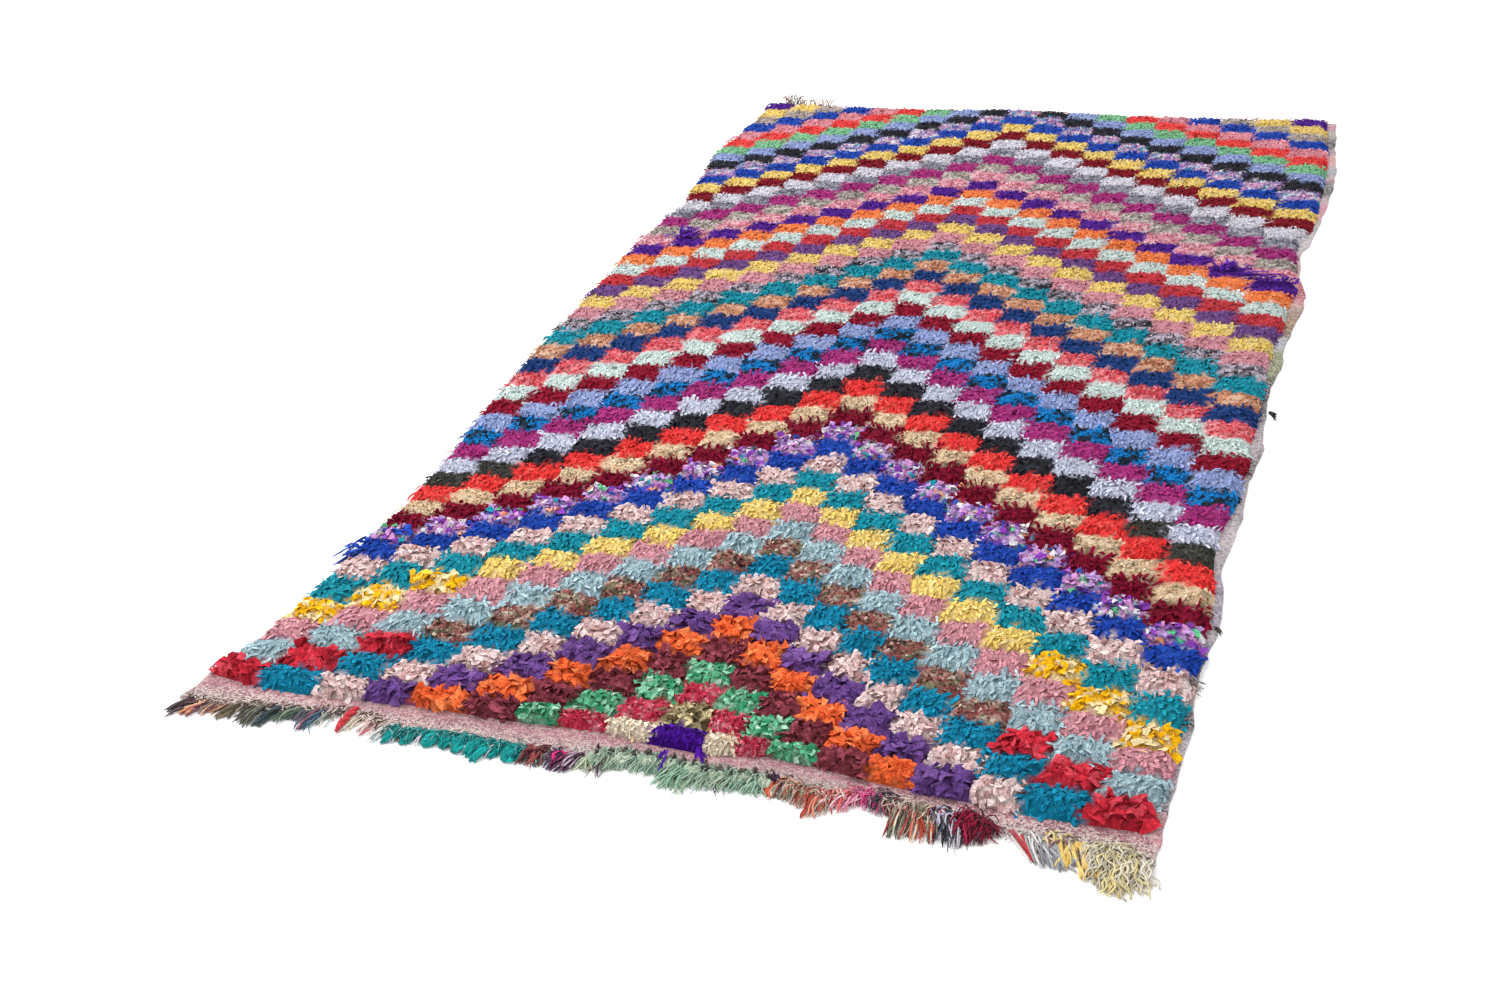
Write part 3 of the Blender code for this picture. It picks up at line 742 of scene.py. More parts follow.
def clothLines():
    # Grid lines over the cloth: its column, row and how far it runs past the pile each way
    look = groundLook
    columns = (np.arange(-9, 10)[:, None] + np.array(look["columnLines"])).ravel()
    rows = (np.arange(rug["rows"])[:, None] + np.array(look["rowLines"])).ravel()
    left = np.linspace(1, 0, look["leftLines"] + 1)
    right = np.linspace(0, 1, look["rightLines"] + 1)
    hem = np.linspace(1, 0, look["hemLines"] + 1)
    far = np.linspace(0, 1, look["farLines"] + 1)
    column = np.concatenate([np.full(len(left), -outermost), columns, np.full(len(right), outermost)])
    outX = np.concatenate([-left, 0 * columns, right])
    row = np.concatenate([np.full(len(hem), -0.5), rows, np.full(len(far), farSide)])
    outY = np.concatenate([-hem, 0 * rows, far])
    return column, outX, row, outY


def hemDepth(x, y):
    # How far the cloth reaches past points on the pile's near edge: to the hem's line
    return np.maximum(y - np.interp(x, hemLine[:, 0], hemLine[:, 1]), hemLeast)


def hemEdge(column):
    # The near edge of the cloth at some columns
    x, y = knotPlace(column, -0.5)
    return x, y - hemDepth(x, y)


def groundMaterial(look):
    # Tint with light and dark flecks, stronger to the hem's edge; bump is a plain weave on its own map, and
    # its low parts carry painted shade
    material, tree, shader = newMaterial("ground weave", look)
    place, tint = placeAndTint(tree)
    weave = addNode(tree, "ShaderNodeUVMap", {"uv_map": "Cloth"}, {}, "UV")
    across = addNode(tree, "ShaderNodeSeparateXYZ", {}, {"Vector": weave}, "X")
    along = addNode(tree, "ShaderNodeSeparateXYZ", {}, {"Vector": weave}, "Y")
    warp = across.maths("SINE", (across + along * look["warpSlant"]) * (2 * np.pi / look["warpPitch"]))
    weft = along.maths("SINE", (along + across * look["weftSlant"]) * (2 * np.pi / look["weftPitch"]))
    relief = warp * weft * 0.5 + 0.5
    cells = addNode(tree, "ShaderNodeTexVoronoi", {}, {"Vector": place, "Scale": look["fleckScale"]}, "Color")
    chance = addNode(tree, "ShaderNodeSeparateColor", {}, {"Color": cells}, "Red")
    nearness = addNode(tree, "ShaderNodeSeparateXYZ", {}, {"Vector": place}, "Y")
    strength = addNode(tree, "ShaderNodeMapRange", {},
                       {"Value": nearness, "From Min": look["hemStart"], "From Max": look["hemEnd"],
                        "To Min": look["plainFleck"], "To Max": look["hemFleck"]})
    light = chance.maths("LESS_THAN", chance, look["lightShare"]) * strength
    dark = chance.maths("GREATER_THAN", chance, 1 - look["darkShare"]) * strength
    mixed = mixTints(tree, "MIX", light, tint, (*look["lightFleck"], 1))
    mixed = mixTints(tree, "MIX", dark, mixed, (*look["darkFleck"], 1))
    # Painted shade: the colour is darkened in the weave's low parts
    cloud = between(noise(tree, look["cloudScale"], 2.0, place), 0.75, 1.2) * between(relief, 0.66, 1.10)
    joinUp(tree, shader, look, mixed, cloud, relief + noise(tree, look["bumpScale"], 3.0, place))
    return material


def makeGround():
    # A thin closed sheet on the lattice; the hem ripples up by a cosine in a bell curve
    look = groundLook
    a, outX, b, outY = clothLines()
    column, row = np.meshgrid(a, b, indexing="ij")
    sideways, lengthways = np.meshgrid(outX, outY, indexing="ij")
    x, y = knotPlace(column, row)
    flare = rug["hemFlare"] * np.clip(-lengthways, 0, 1)
    selvedge = np.interp(row, rightSide[:, 0], rightSide[:, 2] - rightSide[:, 1])
    x = x + np.where(sideways < 0, sideways * (rug["leftSelvedge"] + flare), sideways * selvedge)
    y = y + np.where(lengthways < 0, lengthways * hemDepth(x, y), lengthways * rug["farMargin"])
    wave = np.sin(46 * x) + 0.6 * np.sin(113 * x + 1) + 0.4 * np.sin(251 * x)
    reach = np.clip(-lengthways, 0, 1)
    y = y + look["edgeWave"] * wave * reach
    x = x + look["sideWave"] * (np.sin(57 * y) + np.sin(131 * y + 2)) * np.abs(sideways)
    bell = np.exp(-((x - look["rippleX"]) / look["rippleWidth"]) ** 2)
    lift = look["ripple"] * bell * (1 + np.cos(88 * x)) / 2
    lift = (lift + look["swell"] * (1 + np.sin(37 * x))) * reach ** 1.5
    puff = look["puff"] * np.sin(60 * x) * np.sin(48 * y)
    across, along = column.shape
    upper = np.stack([x, y, rug["ground"] + lift + puff], -1)
    upper[[0, -1], :, 2] -= look["sideDrop"]
    upper[:, [0, -1], 2] -= look["endDrop"]
    lower = np.stack([x, y, np.where(reach > 0, 0.6 * lift, 0.0)], -1)
    faces, places = gridFaces(across, along, (0.0, 0.0, 1.0, 1.0))
    rim = rimOf(across, along)
    ahead = np.roll(rim, -1)
    half = across * along
    walls = np.stack([rim + half, ahead + half, ahead, rim], -1)
    share = np.arange(len(rim)) / len(rim)
    size = 1 / len(rim)
    wallPlaces = np.stack([np.stack([share, share + size, share + size, share], -1),
                           np.broadcast_to([0.94, 0.94, 0.99, 0.99], (len(rim), 4))], -1)
    weaving = pickTints(clothAt(column, row).ravel(), 1, x.ravel(), y.ravel())[:, 0] * look["backShade"]
    edge = np.array([linear(name) for _, name in selvedgeTints])
    steps = [float(step) for step, _ in selvedgeTints]
    woven = np.stack([np.interp(row, steps, edge[:, k]) for k in range(3)], -1) * look["sideShade"]
    pink = linear(look["hemTint"]) * (1 + 0.10 * np.sin(29 * x) + 0.06 * np.sin(83 * x))[..., None]
    fade = np.clip(-lengthways * 1.6 - 0.5, 0, 1)[..., None]
    greyer = linear(look["hemEdgeTint"])
    isHem = (lengthways < 0) | (row < -0.3)
    upperTints = np.where(isHem[..., None], pink * (1 - fade) + greyer * fade, woven)
    plain = isHem | (np.abs(sideways) > 0)
    lowerTints = np.where(plain[..., None], upperTints, weaving.reshape(x.shape + (3,)))
    box = np.array([1.0, 0.46])
    parts = [(np.concatenate([upper.reshape(-1, 3), lower.reshape(-1, 3)]),
              np.concatenate([upperTints.reshape(-1, 3), lowerTints.reshape(-1, 3)]),
              [(faces, places * box), ((faces + half)[:, ::-1], places[:, ::-1] * box + [0.0, 0.47]),
               (walls, wallPlaces)])]
    piece = meshPiece("ground_cloth", parts, groundMaterial(look), "rug")
    cloth = np.stack([x, y], -1).reshape(-1, 2)
    corners = np.concatenate([faces.ravel(), faces[:, ::-1].ravel(), (walls % half).ravel()])
    piece.data.uv_layers.new(name="Cloth").data.foreach_set("uv", cloth[corners].astype(np.float32).ravel())
    quads = cloth[faces]
    first, second = quads[:, 2] - quads[:, 0], quads[:, 3] - quads[:, 1]
    area = float(np.abs(first[:, 0] * second[:, 1] - first[:, 1] * second[:, 0]).sum() / 2)
    return piece, area


ground, groundArea = makeGround()
print("ground cloth:", triangles([ground]), "triangles,", round(groundArea, 3), "square metres")

# Fringe and loose ends

yarnLook = {
    "roughness": 0.95, "sheen": 0.08, "sheenTint": (1.0, 1.0, 1.0),
    "cloudScale": 90.0, "cloudLow": 0.85, "cloudHigh": 1.12,
    "fibreScale": 900.0, "fibreLow": 0.75, "fibreHigh": 1.2,
    "creaseScale": 170.0, "creaseShare": 0.4, "creaseShade": 0.90, "creaseLight": 1.03, "creaseSteep": 6.0,
    "bumpScale": 700.0, "bumpStrength": 0.6, "bumpDistance": 0.0009,
}
yarn = ragMaterial("fringe yarn", yarnLook)
edgeTable = np.stack(hemEdge(np.linspace(-outermost, outermost, 200)), -1)

# Tufts of each stretch. A row is: kind, x of the root, heading in degrees, length, width, strands,
# yarn radius, height and colours, in millimetres. A negative heading points to the near side. A row
# with many x, or with start:step:count for x, is as many tufts, and its other lists take turns.
fringe = {
    "fringe_brown": """
        tassel -752 -128 47 20 14 1.7 6 5b4a48 4a4042 6e5a56 5c3444
        tassel -733 -120 45 14 8 1.8 5 e8a27c d98f6c e8b090 6c3c48
        tassel -712 -118 34 16 8 1.6 5 7a4a50 e0a080 84706a
        tassel -695 -120 32 18 8 1.6 4 8a6a50 c09070 5a4a42""",
    "fringe_olive": """
        tassel -674 -118 42 20 14 1.8 7 6a5a4a 7a6c58 574c40 8a7c68
        tassel -638 -110 50 24 18 1.8 8 55544c 66645a 48483f 77766a
        tassel -608 -110 52 24 18 1.8 9 3a464a 46545a 5a666a 2c383c
        tassel -574 -126 46 22 14 1.8 8 6f8070 5a6c60 88957f 4a5a50
        tassel -562 -112 34 18 10 1.6 5 5c3c48 5a5a64 7a4a58""",
    "fringe_rose": """
        tassel -540 -104 52 22 18 1.4 6 4a6c84 5f8298 3c566c 8c5a6c
        tassel -520 -112 44 16 8 1.4 4 a8b4ac d8cfc0 7a8c88
        twist -484 -100 52 10 2 3.4 6 c43a44 d0545a
        tassel -474 -114 44 26 16 1.3 5 e4dccc d4c8b4 e8d8d0 c9b7a6
        tassel -444 -116 40 22 12 1.4 5 c9606c d88a90 b04a5c e0c8c0""",
    "fringe_emerald": """
        tassel -420 -110 36 16 9 1.3 5 cfd6d4 b9cfd4 e0dcd8
        lobe -396,-366,-336 -125,-122,-100 32,32,28 15,16,22 22 0 10.5 0a9490 0a9c98 066c6e 18a4a2 0c8886
        lobe -313,-290,-266 -96,-104,-112 26,30,34 20,24,22 22 0 10.5 0a9490 0a9c98 066c6e 18a4a2 0c8886
        lobe -248,-229,-208 -104,-108,-100 43,30,30 20,15,26 22 0 10.5 0a9490 0a9c98 066c6e 18a4a2 0c8886
        tassel -392,-350,-276,-257,-238 -112 34 4 3 1 12 d6cfe0 e4dfe8 c8c8d4
        puff -300 -95 20 220 560 0.9 13 109a98 18a4a2 0e8886 066c6e 0c8080 7fb8b4
        puff -310 85 14 200 170 0.8 6 d8b8bc 18a4a2 c08c98 e4d4d8 8cb8b8
        puff -376 -95 13 36 60 0.9 8 7c3c3c 8c4c44 5c2c30 c08c90""",
    "fringe_plum": """
        tassel -186 -118 34 14 12 1.4 8 6c2c34 7c3a3c 4c2430 0c8a84
        puff -176 -95 28 24 60 1.5 11 6c2c34 7c3a3c 5a2430 8a4c44 a8504c
        tassel -160 -100 32 18 14 1.3 6 8cb0ac a8bcb4 6c5a68 2c6c74
        puff -142 -98 20 20 36 1.4 10 e0307c 2c2c50 3a3050 4a2c54 d8589a
        tassel -136 -108 36 20 16 1.5 8 e0307c 2c2c50 3a3050 5a2c4c 8c3c54
        tassel -112 -114 44 22 18 1.7 10 5c2c4c 4c2844 6c3c58 3c2038 b8a4b8""",
    "fringe_mint": """
        knot -92:17.8:15 -66,-124 24 18 12 0 11 a8b8a0 b8c8b0 90a890 c8d0bc
        puff -83:17.8:15 -95 7 6 10 1.5 17 5c4c4c 6c6058 4c4448
        hank -80 -118 46 27 28 1.2 10 c4c8a8 acbca4 bcc4a4 90a894
        hank -58.5 -112 44 27 28 1.2 10 9cb4a0 b4c4ac 98b09c
        hank -37 -132 40 27 28 1.2 10 90ac9c a8c0ac b4c8b4
        hank -15.5 -128 40 27 28 1.2 10 8ca898 a8bca4 b8c8b0 8cac98
        hank 6 -126 42 27 28 1.2 10 94b4a0 a4bca8 90b09c
        hank 27.5 -118 48 27 28 1.2 10 8cb09c a0bca4 c0c8a4 8cb09c
        hank 49 -112 66 27 28 1.2 10 94b8a0 94b89c c4c89c 84ac94
        hank 70.5 -122 52 27 28 1.2 10 98b8a4 9cb89c 88ac98
        hank 92 -130 44 27 28 1.2 10 a8bca4 b4c4ac 8cac98
        hank 113.5 -120 44 27 28 1.2 10 c8ccb4 b4c0a8 9cb4a0
        hank 135 -112 42 27 28 1.2 10 8cb09c 8cb09c 9cbca4
        hank 156.5 -104 42 27 28 1.2 10 94b4a0 98b8a0 88ac98
        puff 40 -115 24 250 250 1 14 98b0a0 a8c0ac 98b09c b4c4b0 8ca890
        tassel -70 -96 58 6 6 0.9 12 5a3a4c 4a3040 8c8890
        tassel 86 -60 58 4 3 0.7 6 4c4c50 6c6c70""",
    "fringe_rust": """
        puff 178 -92 16 22 32 1.4 10 4c2c50 5c3a5c 3c2440
        tassel 172 -92 42 10 9 1.5 6 c8402c d8603c e8d8c8
        tassel 186 -86 36 10 8 1.4 7 4c3c4c 6c5c68 e4d8cc
        puff 216 -100 26 50 120 0.9 12 ac5444 807c68 d8b8a4 a09884 dca898
        puff 262 -100 26 50 110 0.9 12 d8705c e8988c ecd0c8 c84c48 d8a0a0
        fan 208 -100 40 38 44 1.1 11 ac5040 807c68 d8b8a4 984438 a09884
        fan 243 -92 44 26 28 1.2 10 c45440 e8d0bc b04838 948c74
        tassel 244 -94 58 8 7 1.5 8 c45440 b84838 d88c78
        tassel 272 -120 42 30 20 1.5 8 d8605c e88c88 ecd0c8 c0484c""",
    "fringe_pink": """
        tassel 292 -122 44 26 24 1.2 9 e07898 eca4b8 c85c80 f0d0d8
        puff 300 -105 26 34 110 0.9 12 d84c88 e8709c b83c74 f0b0c8 e4809c
        puff 328 -88 28 22 70 1.2 12 3c3440 5a4450 6c5a60 c8407c""",
    "fringe_moss": """
        puff 345 -70 20 30 90 1 13 6c5c54 84746a c8b4ac 9c6c70
        puff 376 -80 30 70 150 0.9 14 747262 a03c34 d8b8a8 c8a898 847e6c e0ccbc
        puff 390 80 18 100 130 0.9 9 c8a09c e0ccc0 8c6c68 d8b4b0
        fan 358 -86 64 26 34 1.3 10 747262 a03c34 646254 d8d0b8 5c5c48 847e6c
        fan 388 -80 62 28 32 1.3 9 bc4c38 e0c8b4 a84434 948c76 d07c64""",
    "fringe_crimson": """
        puff 414 -76 28 34 70 1.3 14 b8b0cc 8c84a8 d8d0e0 34303c
        fan 420 -78 56 30 36 1.2 11 2c2c38 3c3c4c d8ccd8 54546c 242430
        tassel 424 -72 68 24 7 0.9 10 e4dce4 d0c8d4 3c3c48
        hank 448 -88 46 20 34 1 16 a01038 8c1030 b02048 3c1c28 701030
        hank 466 -86 42 18 28 1 16 8c1030 981438 2c2430 701030 4c4450
        puff 454 -84 27 36 240 1 20 a01038 b82048 701030 3c1c28 28202c 8c1434""",
    "fringe_cream": """
        strip 508 -50 58 18 9 1.3 8 c83c44 e8e4e0 d05058 f0ece8
        tassel 530 -62 56 20 18 1.5 8 e4e0dc c8c4c4 f0ecea a8a4a8
        tassel 548 -56 68 20 16 1.8 9 c4c4c8 dcd8d4 8c8c94 a8a8ac
        puff 562 -70 26 28 60 1.4 11 e0c480 ecd898 e4dcc4 8c6c70
        tassel 572 -78 50 16 10 2.4 8 e4c470 ecd488 dcb860
        tassel 592 -66 66 14 9 2.8 7 e4c470 ecd08c f0dca0 d4ac58
        tassel 588 -62 64 3 1 1.4 13 54443c
        tassel 612 -38 40 10 6 2.2 12 e4c470 ecd488
        crimp 608 -94 46 18 18 1.5 14 d4c8b0 c8c0b0 e0d4bc b8b0a4
        crimp 618 -92 62 18 18 1.5 14 d4cab4 c8c0b0 dccc94 b0a896
        crimp 629 -90 78 18 18 1.5 14 dcd0ac dcc884 c8c0ac b8b09c
        crimp 640 -88 88 18 18 1.5 14 dccc94 d8ceb4 dcc074 c0b6a0
        crimp 650 -86 86 18 18 1.5 14 d8ceb4 dccc90 ccc2ac e8dec4
        crimp 661 -84 72 18 18 1.5 14 e0d6bc d4cab4 e4dabc c8beac
        crimp 671 -82 56 18 18 1.5 14 e8e0cc d8d0bc d0c6b4
        knot 598:14.5:6 -60,-130 24 14 12 0 11 d8ccb0 c8c0ac e0d6be b4aaa0
        puff 603:14.5:6 -95 6 5 9 1.3 11 7c5c6c 6c5060 8c7078
        puff 636 -86 30 60 200 1.1 15 d8ccb0 ccc2ac d8c48c b8ae9c e0d8c4""",
}
strandLook = {
    "sections": 8, "loop": 4, "waver": 0.22, "waves": 0.8, "curl": 0.25,
    "swell": 0.0, "tip": 0.45, "lumps": 0.0, "flat": 1.0, "crumple": 0.12,
    "wind": 0.0, "flatWind": 1.0, "turns": 0.0, "rest": 0.0,
}
fineYarn = 0.00175      # thinner yarn than this has three sides
wound = {"waver": 0.10, "curl": 0.15, "lumps": 0.10, "crumple": 0.30, "swell": 0.25}
kindLooks = {
    "puff": {"sections": 4, "loop": 3, "waver": 0.6, "curl": 0.8},
    "lobe": wound, "knot": wound, "tassel": {},
    "twist": {"sections": 18, "loop": 6, "waver": 0.0, "curl": 0.0, "tip": 0.75, "lumps": 0.08,
              "crumple": 0.15, "flatWind": 0.9, "swell": 0.05},
    "strip": {"waver": 0.05}, "fan": {"waver": 0.12}, "hank": {"waver": 0.35, "curl": 0.5},
    "crimp": {"waver": 0.75, "sections": 13, "waves": 2.2, "tip": 0.8, "curl": 0.35},
}


def spreadOut(field):
    # The numbers of one field: one or a list, or evenly spaced as start:step:count
    if ":" in field:
        start, step, count = map(float, field.split(":"))
        return start + step * np.arange(int(count))
    return [float(part) for part in field.split(",")]


def readTufts(text):
    # The tufts of some rows, in metres
    tufts = []
    for line in text.strip().splitlines():
        kind, *fields = line.split()
        places, *lists = map(spreadOut, fields[:7])
        for k, x in enumerate(places):
            turn, size, width, count, radius, height = [values[k % len(values)] for values in lists]
            tufts.append((kind, x / 1000, turn, size / 1000, width / 1000, int(count), radius / 1000,
                          height / 1000, fields[7:]))
    return tufts


def strandPart(roots, heading, length, radius, look, tints, firstCell, cells):
    # Tubes along the floor: the heading wavers by a sine and curls; height is a hump between
    # root and tip; plies wind round the path by a growing angle
    count = len(roots)
    sections, loop, rest = look["sections"], look["loop"], look["rest"]
    s = np.linspace(0, 1, sections)[None, :]
    phase = random.uniform(0, 2 * np.pi, (2, count, 1))
    turn = heading[:, None] + look["waver"] * np.sin(2 * np.pi * look["waves"] * s + phase[0])
    turn = turn + random.normal(0, look["curl"], (count, 1)) * s
    step = length[:, None] / (sections - 1)
    x = roots[:, :1] + np.cumsum(np.cos(turn) * step, 1) - np.cos(turn[:, :1]) * step
    y = roots[:, 1:2] + np.cumsum(np.sin(turn) * step, 1) - np.sin(turn[:, :1]) * step
    hump = look["height"][:, None] * np.sin(np.pi * np.clip(s * 0.92 + 0.08, 0, 1)) ** 0.8
    z = radius[:, None] + rest + (roots[:, 2:] - rest) * (1 - s) ** 1.5 + hump
    wind = look["wind"] * np.sin(np.pi * np.clip(s * 0.9 + 0.12, 0, 1)) ** 0.6
    angle = 2 * np.pi * (np.arange(count)[:, None] / count + look["turns"] * s)
    x = x - np.sin(turn) * wind * np.cos(angle)
    y = y + np.cos(turn) * wind * np.cos(angle)
    z = z + look["flatWind"] * wind * (1 + np.sin(angle))
    swell = 1 + look["swell"] * np.sin(np.pi * s)
    swell = swell * np.interp(s, [0, 0.85, 1], [1, 1, look["tip"]])
    swell = swell * (1 + look["lumps"] * np.sin(2 * np.pi * 7 * s + phase[1]))
    width = 2 * radius[:, None] * swell
    none = np.zeros((count, sections))
    rings = ringsAlong(np.stack([x, y, z], -1), none, width, width * look["flat"], none, loop)
    rings = rings + random.normal(0, look["crumple"], rings.shape) * radius[:, None, None, None]
    rings[..., 2] = np.maximum(rings[..., 2], 0.0004)      # just clear of the floor
    shade = random.normal(1, 0.08, (count, 1)) * (0.86 + 0.16 * s)
    shown = np.broadcast_to((tints[:, None, :] * shade[..., None])[:, :, None, :], rings.shape)
    faces = tubeFaces(count, sections, loop, firstCell, cells, (0.0, 0.0, 1.0, 1.0))
    return rings.reshape(-1, 3), shown.reshape(-1, 3), faces


def rootsOf(x, back, height):
    # Points on the hem's edge, set back into the cloth by back
    y = np.interp(x, edgeTable[:, 0], edgeTable[:, 1])
    return np.stack([x, y + back, height], -1)


def tuftStrands(tuft):
    # Roots, headings, lengths, radii, look and tints of one tuft's strands
    kind, x, turn, size, width, count, radius, height, tones = tuft
    turn = np.radians(turn)
    look = {**strandLook, **kindLooks[kind], "height": np.zeros(count)}
    if kind == "puff":
        along = random.uniform(-0.5, 0.5, count) * width
        roots = rootsOf(x + along, random.uniform(-0.006, 0.006, count),
                        random.uniform(0.001, 0.8 * height, count))
        heading = turn + random.normal(0, 1.0, count)
        length = size * random.uniform(0.5, 1.1, count)
        radii = radius * random.uniform(0.7, 1.3, count)
        look["height"] = height * random.uniform(0.1, 0.8, count)
    elif kind in ("lobe", "knot"):
        back = 0.003 if kind == "lobe" else 0.001
        roots = rootsOf(np.full(count, x), np.full(count, back), np.full(count, 0.001))
        heading = np.full(count, turn + random.normal(0, 0.07))
        length = size * random.uniform(0.80, 1.06, count)
        radii = width * random.uniform(0.6, 1.0, count) / np.sqrt(count) * 0.55
        look["wind"] = width * random.uniform(0.24, 0.42, (count, 1))
        look["flatWind"] = height / width
        look["turns"] = random.uniform(0.3, 0.6)
    elif kind == "twist":
        roots = rootsOf(np.full(count, x), np.full(count, 0.012), np.full(count, 0.003))
        heading = np.full(count, turn)
        length = size * random.uniform(0.93, 1.03, count)
        radii = np.full(count, radius)
        look["wind"] = width * 0.32
        look["turns"] = size / 0.026        # a turn in every 26 mm
    else:
        spread = (np.arange(count) + 0.5) / count - 0.5
        back = random.uniform(-0.003, 0.006, count)
        roots = rootsOf(x + spread * width, back, random.uniform(0.001, 0.004, count))
        gather = np.arctan2(spread * width * (-0.5 if kind == "fan" else 0.6), size)
        heading = turn - gather + random.normal(0, 0.06 if kind == "strip" else 0.10, count)
        length = (size - 0.004) * random.uniform(0.78, 1.05, count)
        radii = radius * random.uniform(0.8, 1.25, count)
        look["loop"] = 3 if radius < fineYarn else 4
        look["height"] = height * random.uniform(0.0, 0.8, count)
    inTurn = kind in ("strip", "fan")
    picked = np.arange(count) % len(tones) if inTurn else random.integers(0, len(tones), count)
    return roots, heading, length, radii, look, np.array([linear(tone) for tone in tones])[picked]


def strandPiece(name, strands, cells, material, node, smooth=False):
    # One piece of many sets of strands, each strand in its own cell of the map
    parts, firstCell = [], 0
    for one in strands:
        parts.append(strandPart(*one, firstCell, cells))
        firstCell += len(one[0])
    return meshPiece(name, parts, material, node, smooth)


def strandCount(sets):
    return sum(len(one[0]) for one in sets)


tufts = {name: readTufts(text) for name, text in fringe.items()}
# Short fuzz where the weave ends, along the hem between two columns, and brown threads at its left
hemFuzz = {"tones": "cfa6a8 d8c4bc a08488 7c646c e0d4cc".split(), "turn": -95, "size": 0.009,
           "perMetre": 480, "radius": 0.0010, "height": 0.006}
leftFuzz = {"tones": "5c4440 7c6058 d8c0b4 e8d8cc 4c3c3c".split(), "turn": 65, "size": 0.020,
            "perMetre": 1100, "radius": 0.0009, "height": 0.007}


def addFuzz(name, x, width, look):
    # A puff over one stretch of the hem
    tufts[name].append(("puff", x, look["turn"], look["size"], width, int(look["perMetre"] * width),
                        look["radius"], look["height"], look["tones"]))


for name, first, last in (("brown", -9.5, -8.5), ("olive", -8.5, -6.5), ("rose", -6.5, -5.5),
                          ("plum", -2.5, -1.5), ("rust", 2.5, 4.5), ("pink", 4.5, 5.5),
                          ("moss", 5.5, 6.5), ("crimson", 6.5, 7.5), ("cream", 7.5, 9.4)):
    ends = hemEdge(np.array([first, last]))[0]
    addFuzz("fringe_" + name, float(ends.mean()), float(ends[1] - ends[0]), hemFuzz)
for name, x, width in (("brown", -0.725, 0.100), ("olive", -0.620, 0.130), ("rose", -0.490, 0.120)):
    addFuzz("fringe_" + name, x, width, leftFuzz)
for name, rows in tufts.items():
    made = [tuftStrands(tuft) for tuft in rows]
    strandPiece(name + "_yarn", made, strandCount(made), yarn, name, smooth=True)

# Strips and threads that have worked loose. Each is: x, y, z of its root and z of its end, heading
# in degrees, length, spread each way, strands, radius, flatness, how far headings vary, colours; lengths
# are in millimetres
loose = """
    13 -1292 14 6 -98 34 2 2 2 1.9 0.8 0.05 4b1096 5a1aa8
    52 -1280 13 3 -48 15 5 4 5 2.2 0.5 0.2 4b1096 5a1aa8
    -700 -914 20 4 176 46 10 30 13 3.4 0.4 0.3 1c46b0 2a56c2 16388c
    -640 -872 21 20 150 26 16 12 7 3.2 0.4 0.4 1c46b0 2a56c2
    -548 -1006 22 26 88 34 6 6 3 4.8 0.3 0.3 ffc010 ffd044
    592 392 19 26 85 34 22 8 16 2.4 0.4 0.35 541f94 662ca4 40147c
    640 372 20 18 8 66 30 10 9 1.2 0.6 0.15 541f94 662ca4
    700 342 20 22 60 26 40 6 16 2.2 0.4 0.5 541f94 662ca4 40147c
    -628 424 19 28 88 36 16 6 12 2.6 0.4 0.3 541f94 662ca4 40147c
    -640 418 19 19 60 34 36 8 14 2.4 0.4 0.5 541f94 662ca4
    -666 1366 12 34 90 26 26 4 30 0.8 1 1.2 6c4a40 8a6454 4c3630 a07c68
    -610 1366 10 24 75 20 50 4 36 0.8 1 1 6c4a40 8a6454 d0a070
    728 -186 10 2 4 14 3 4 10 1.6 0.8 0.3 4c4a50 2c2a30 8c8488
    704 -848 10 1 22 13 2 4 4 1.4 0.8 0.25 5a5654 3c3838
    686 -978 10 1 -14 22 2 12 7 1.2 0.8 0.5 8c8480 6c6460 a89c98
    680 -1214 10 1 -12 17 2 3 2 0.8 0.9 0.3 8ca0a8 7c8c94
    """
looseUnits = (1000, 1000, 1000, 1000, 1, 1000, 1000, 1000, 1, 1000, 1, 1)
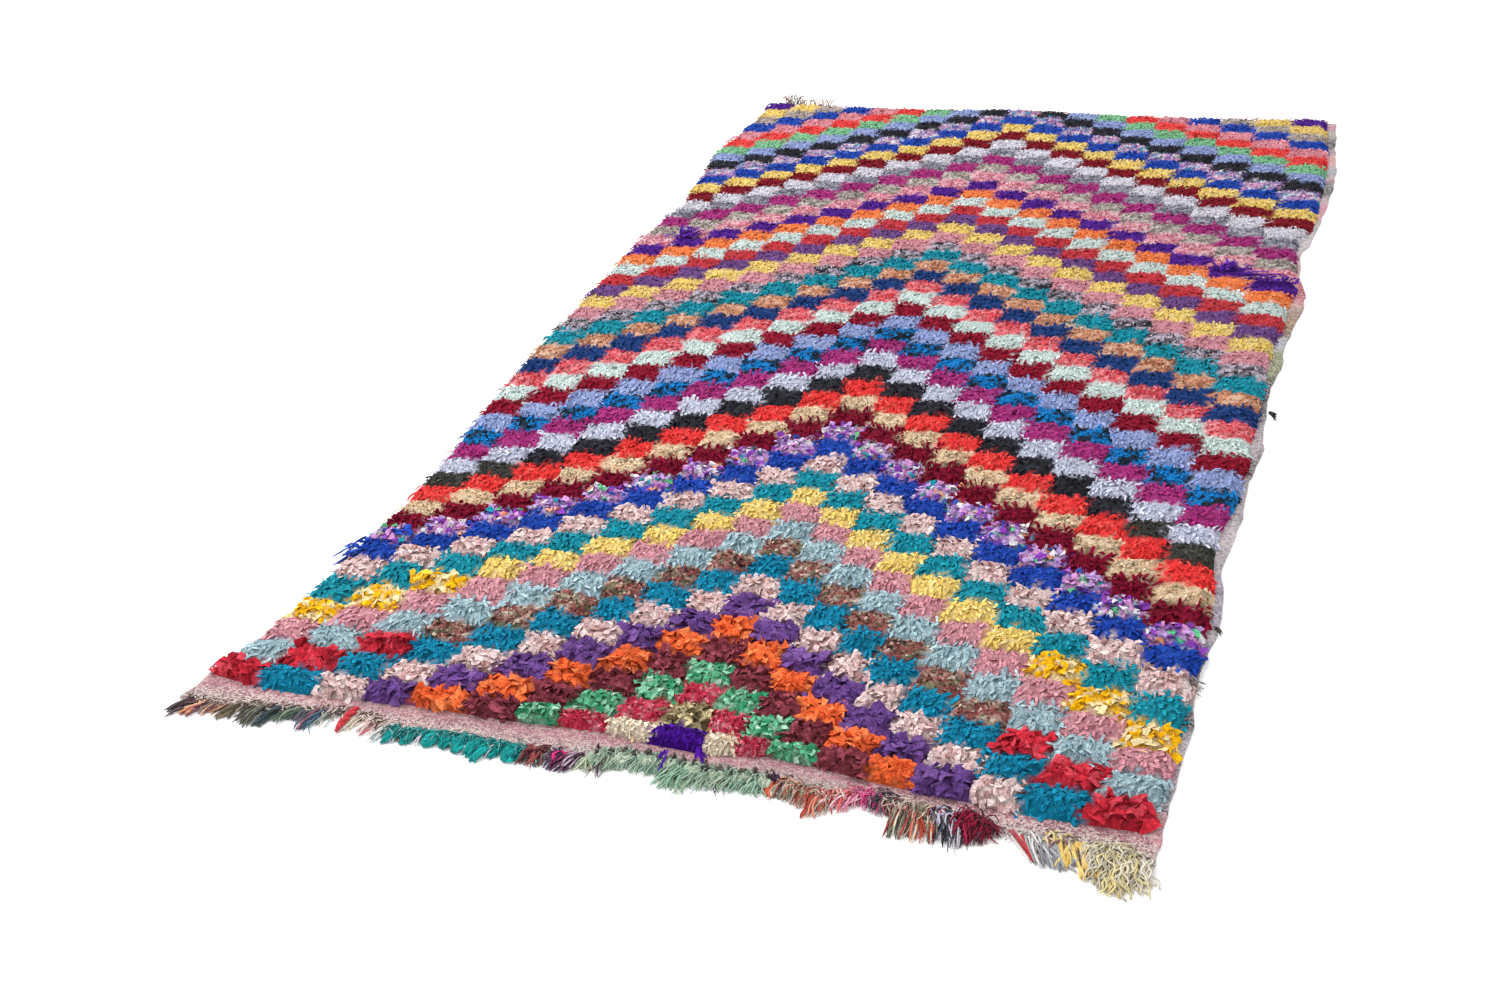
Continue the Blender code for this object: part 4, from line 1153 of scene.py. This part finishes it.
# Short ends along the far edge and the left side, as many at each block
farEnds = {"count": 16, "shift": (0, -0.006), "z": (0.003, 0.014), "turn": np.pi / 2, "vary": 0.7,
           "size": (0.014, 0.032), "radius": (0.0012, 0.0026), "flat": 0.6}
leftEnds = {"count": 6, "shift": (0.006, 0), "z": (0.004, 0.014), "turn": np.pi, "vary": 0.6,
            "size": (0.012, 0.024), "radius": (0.0010, 0.0020), "flat": 0.8}
shortRest = 0.004
looseLook = {"sections": 5, "loop": 3, "waver": 0.3, "waves": 0.7, "curl": 0.5, "swell": 0.1, "tip": 0.6,
             "crumple": 0.25}
looseHeight = (0.001, 0.006)


def shortEnds(look, column, row, sideways, tones):
    # Ends spread over one block's width or length, with their roots inside the pile's edge
    count = look["count"]
    spread = random.uniform(-0.5, 0.5, count)
    x, y = knotPlace(column + sideways * spread, row + (1 - sideways) * spread)
    roots = np.stack([x + look["shift"][0], y + look["shift"][1], random.uniform(*look["z"], count)], -1)
    heading = look["turn"] + random.normal(0, look["vary"], count)
    return (roots, heading, random.uniform(*look["size"], count), random.uniform(*look["radius"], count),
            shortRest, look["flat"], tones)


def looseStrands(one):
    # The same strands with their look and tints
    roots, heading, length, radii, rest, flat, tones = one
    look = {**strandLook, **looseLook, "flat": flat, "rest": rest,
            "height": random.uniform(*looseHeight, len(roots))}
    picked = random.integers(0, len(tones), len(roots))
    return roots, heading, length, radii, look, np.array([linear(tone) for tone in tones])[picked]


def makeLoose():
    # Loose strips, and short ends along the far edge and the left side, as one piece
    sets = []
    for line in loose.strip().splitlines():
        fields = line.split()
        x, y, z, rest, turn, size, spreadX, spreadY, count, radius, flat, vary = table(
            " ".join(fields[:12]), *looseUnits)[0]
        count = int(count)
        roots = np.stack([x + random.uniform(-1, 1, count) * spreadX,
                          y + random.uniform(-1, 1, count) * spreadY, np.full(count, z)], -1)
        heading = np.radians(turn) + random.normal(0, vary, count)
        sets.append((roots, heading, size * random.uniform(0.6, 1.1, count),
                     radius * random.uniform(0.8, 1.3, count), rest, flat, fields[12:]))
    for column in np.arange(-9, 10):
        tones = [*cloths[clothNames[chart[column + 9, -1]]]["tones"], "cf98a4"]
        sets.append(shortEnds(farEnds, column, farSide, 1, tones))
    for row in np.arange(rug["rows"]):
        tones = list(cloths[clothNames[chart[0, row]]]["tones"])
        sets.append(shortEnds(leftEnds, -outermost, row, 0, tones))
    made = (looseStrands(one) for one in sets)
    return strandPiece("loose_ends", made, strandCount(sets), ragCloth, "rug")


looseEnds = makeLoose()
print("loose ends:", triangles([looseEnds]), "triangles")
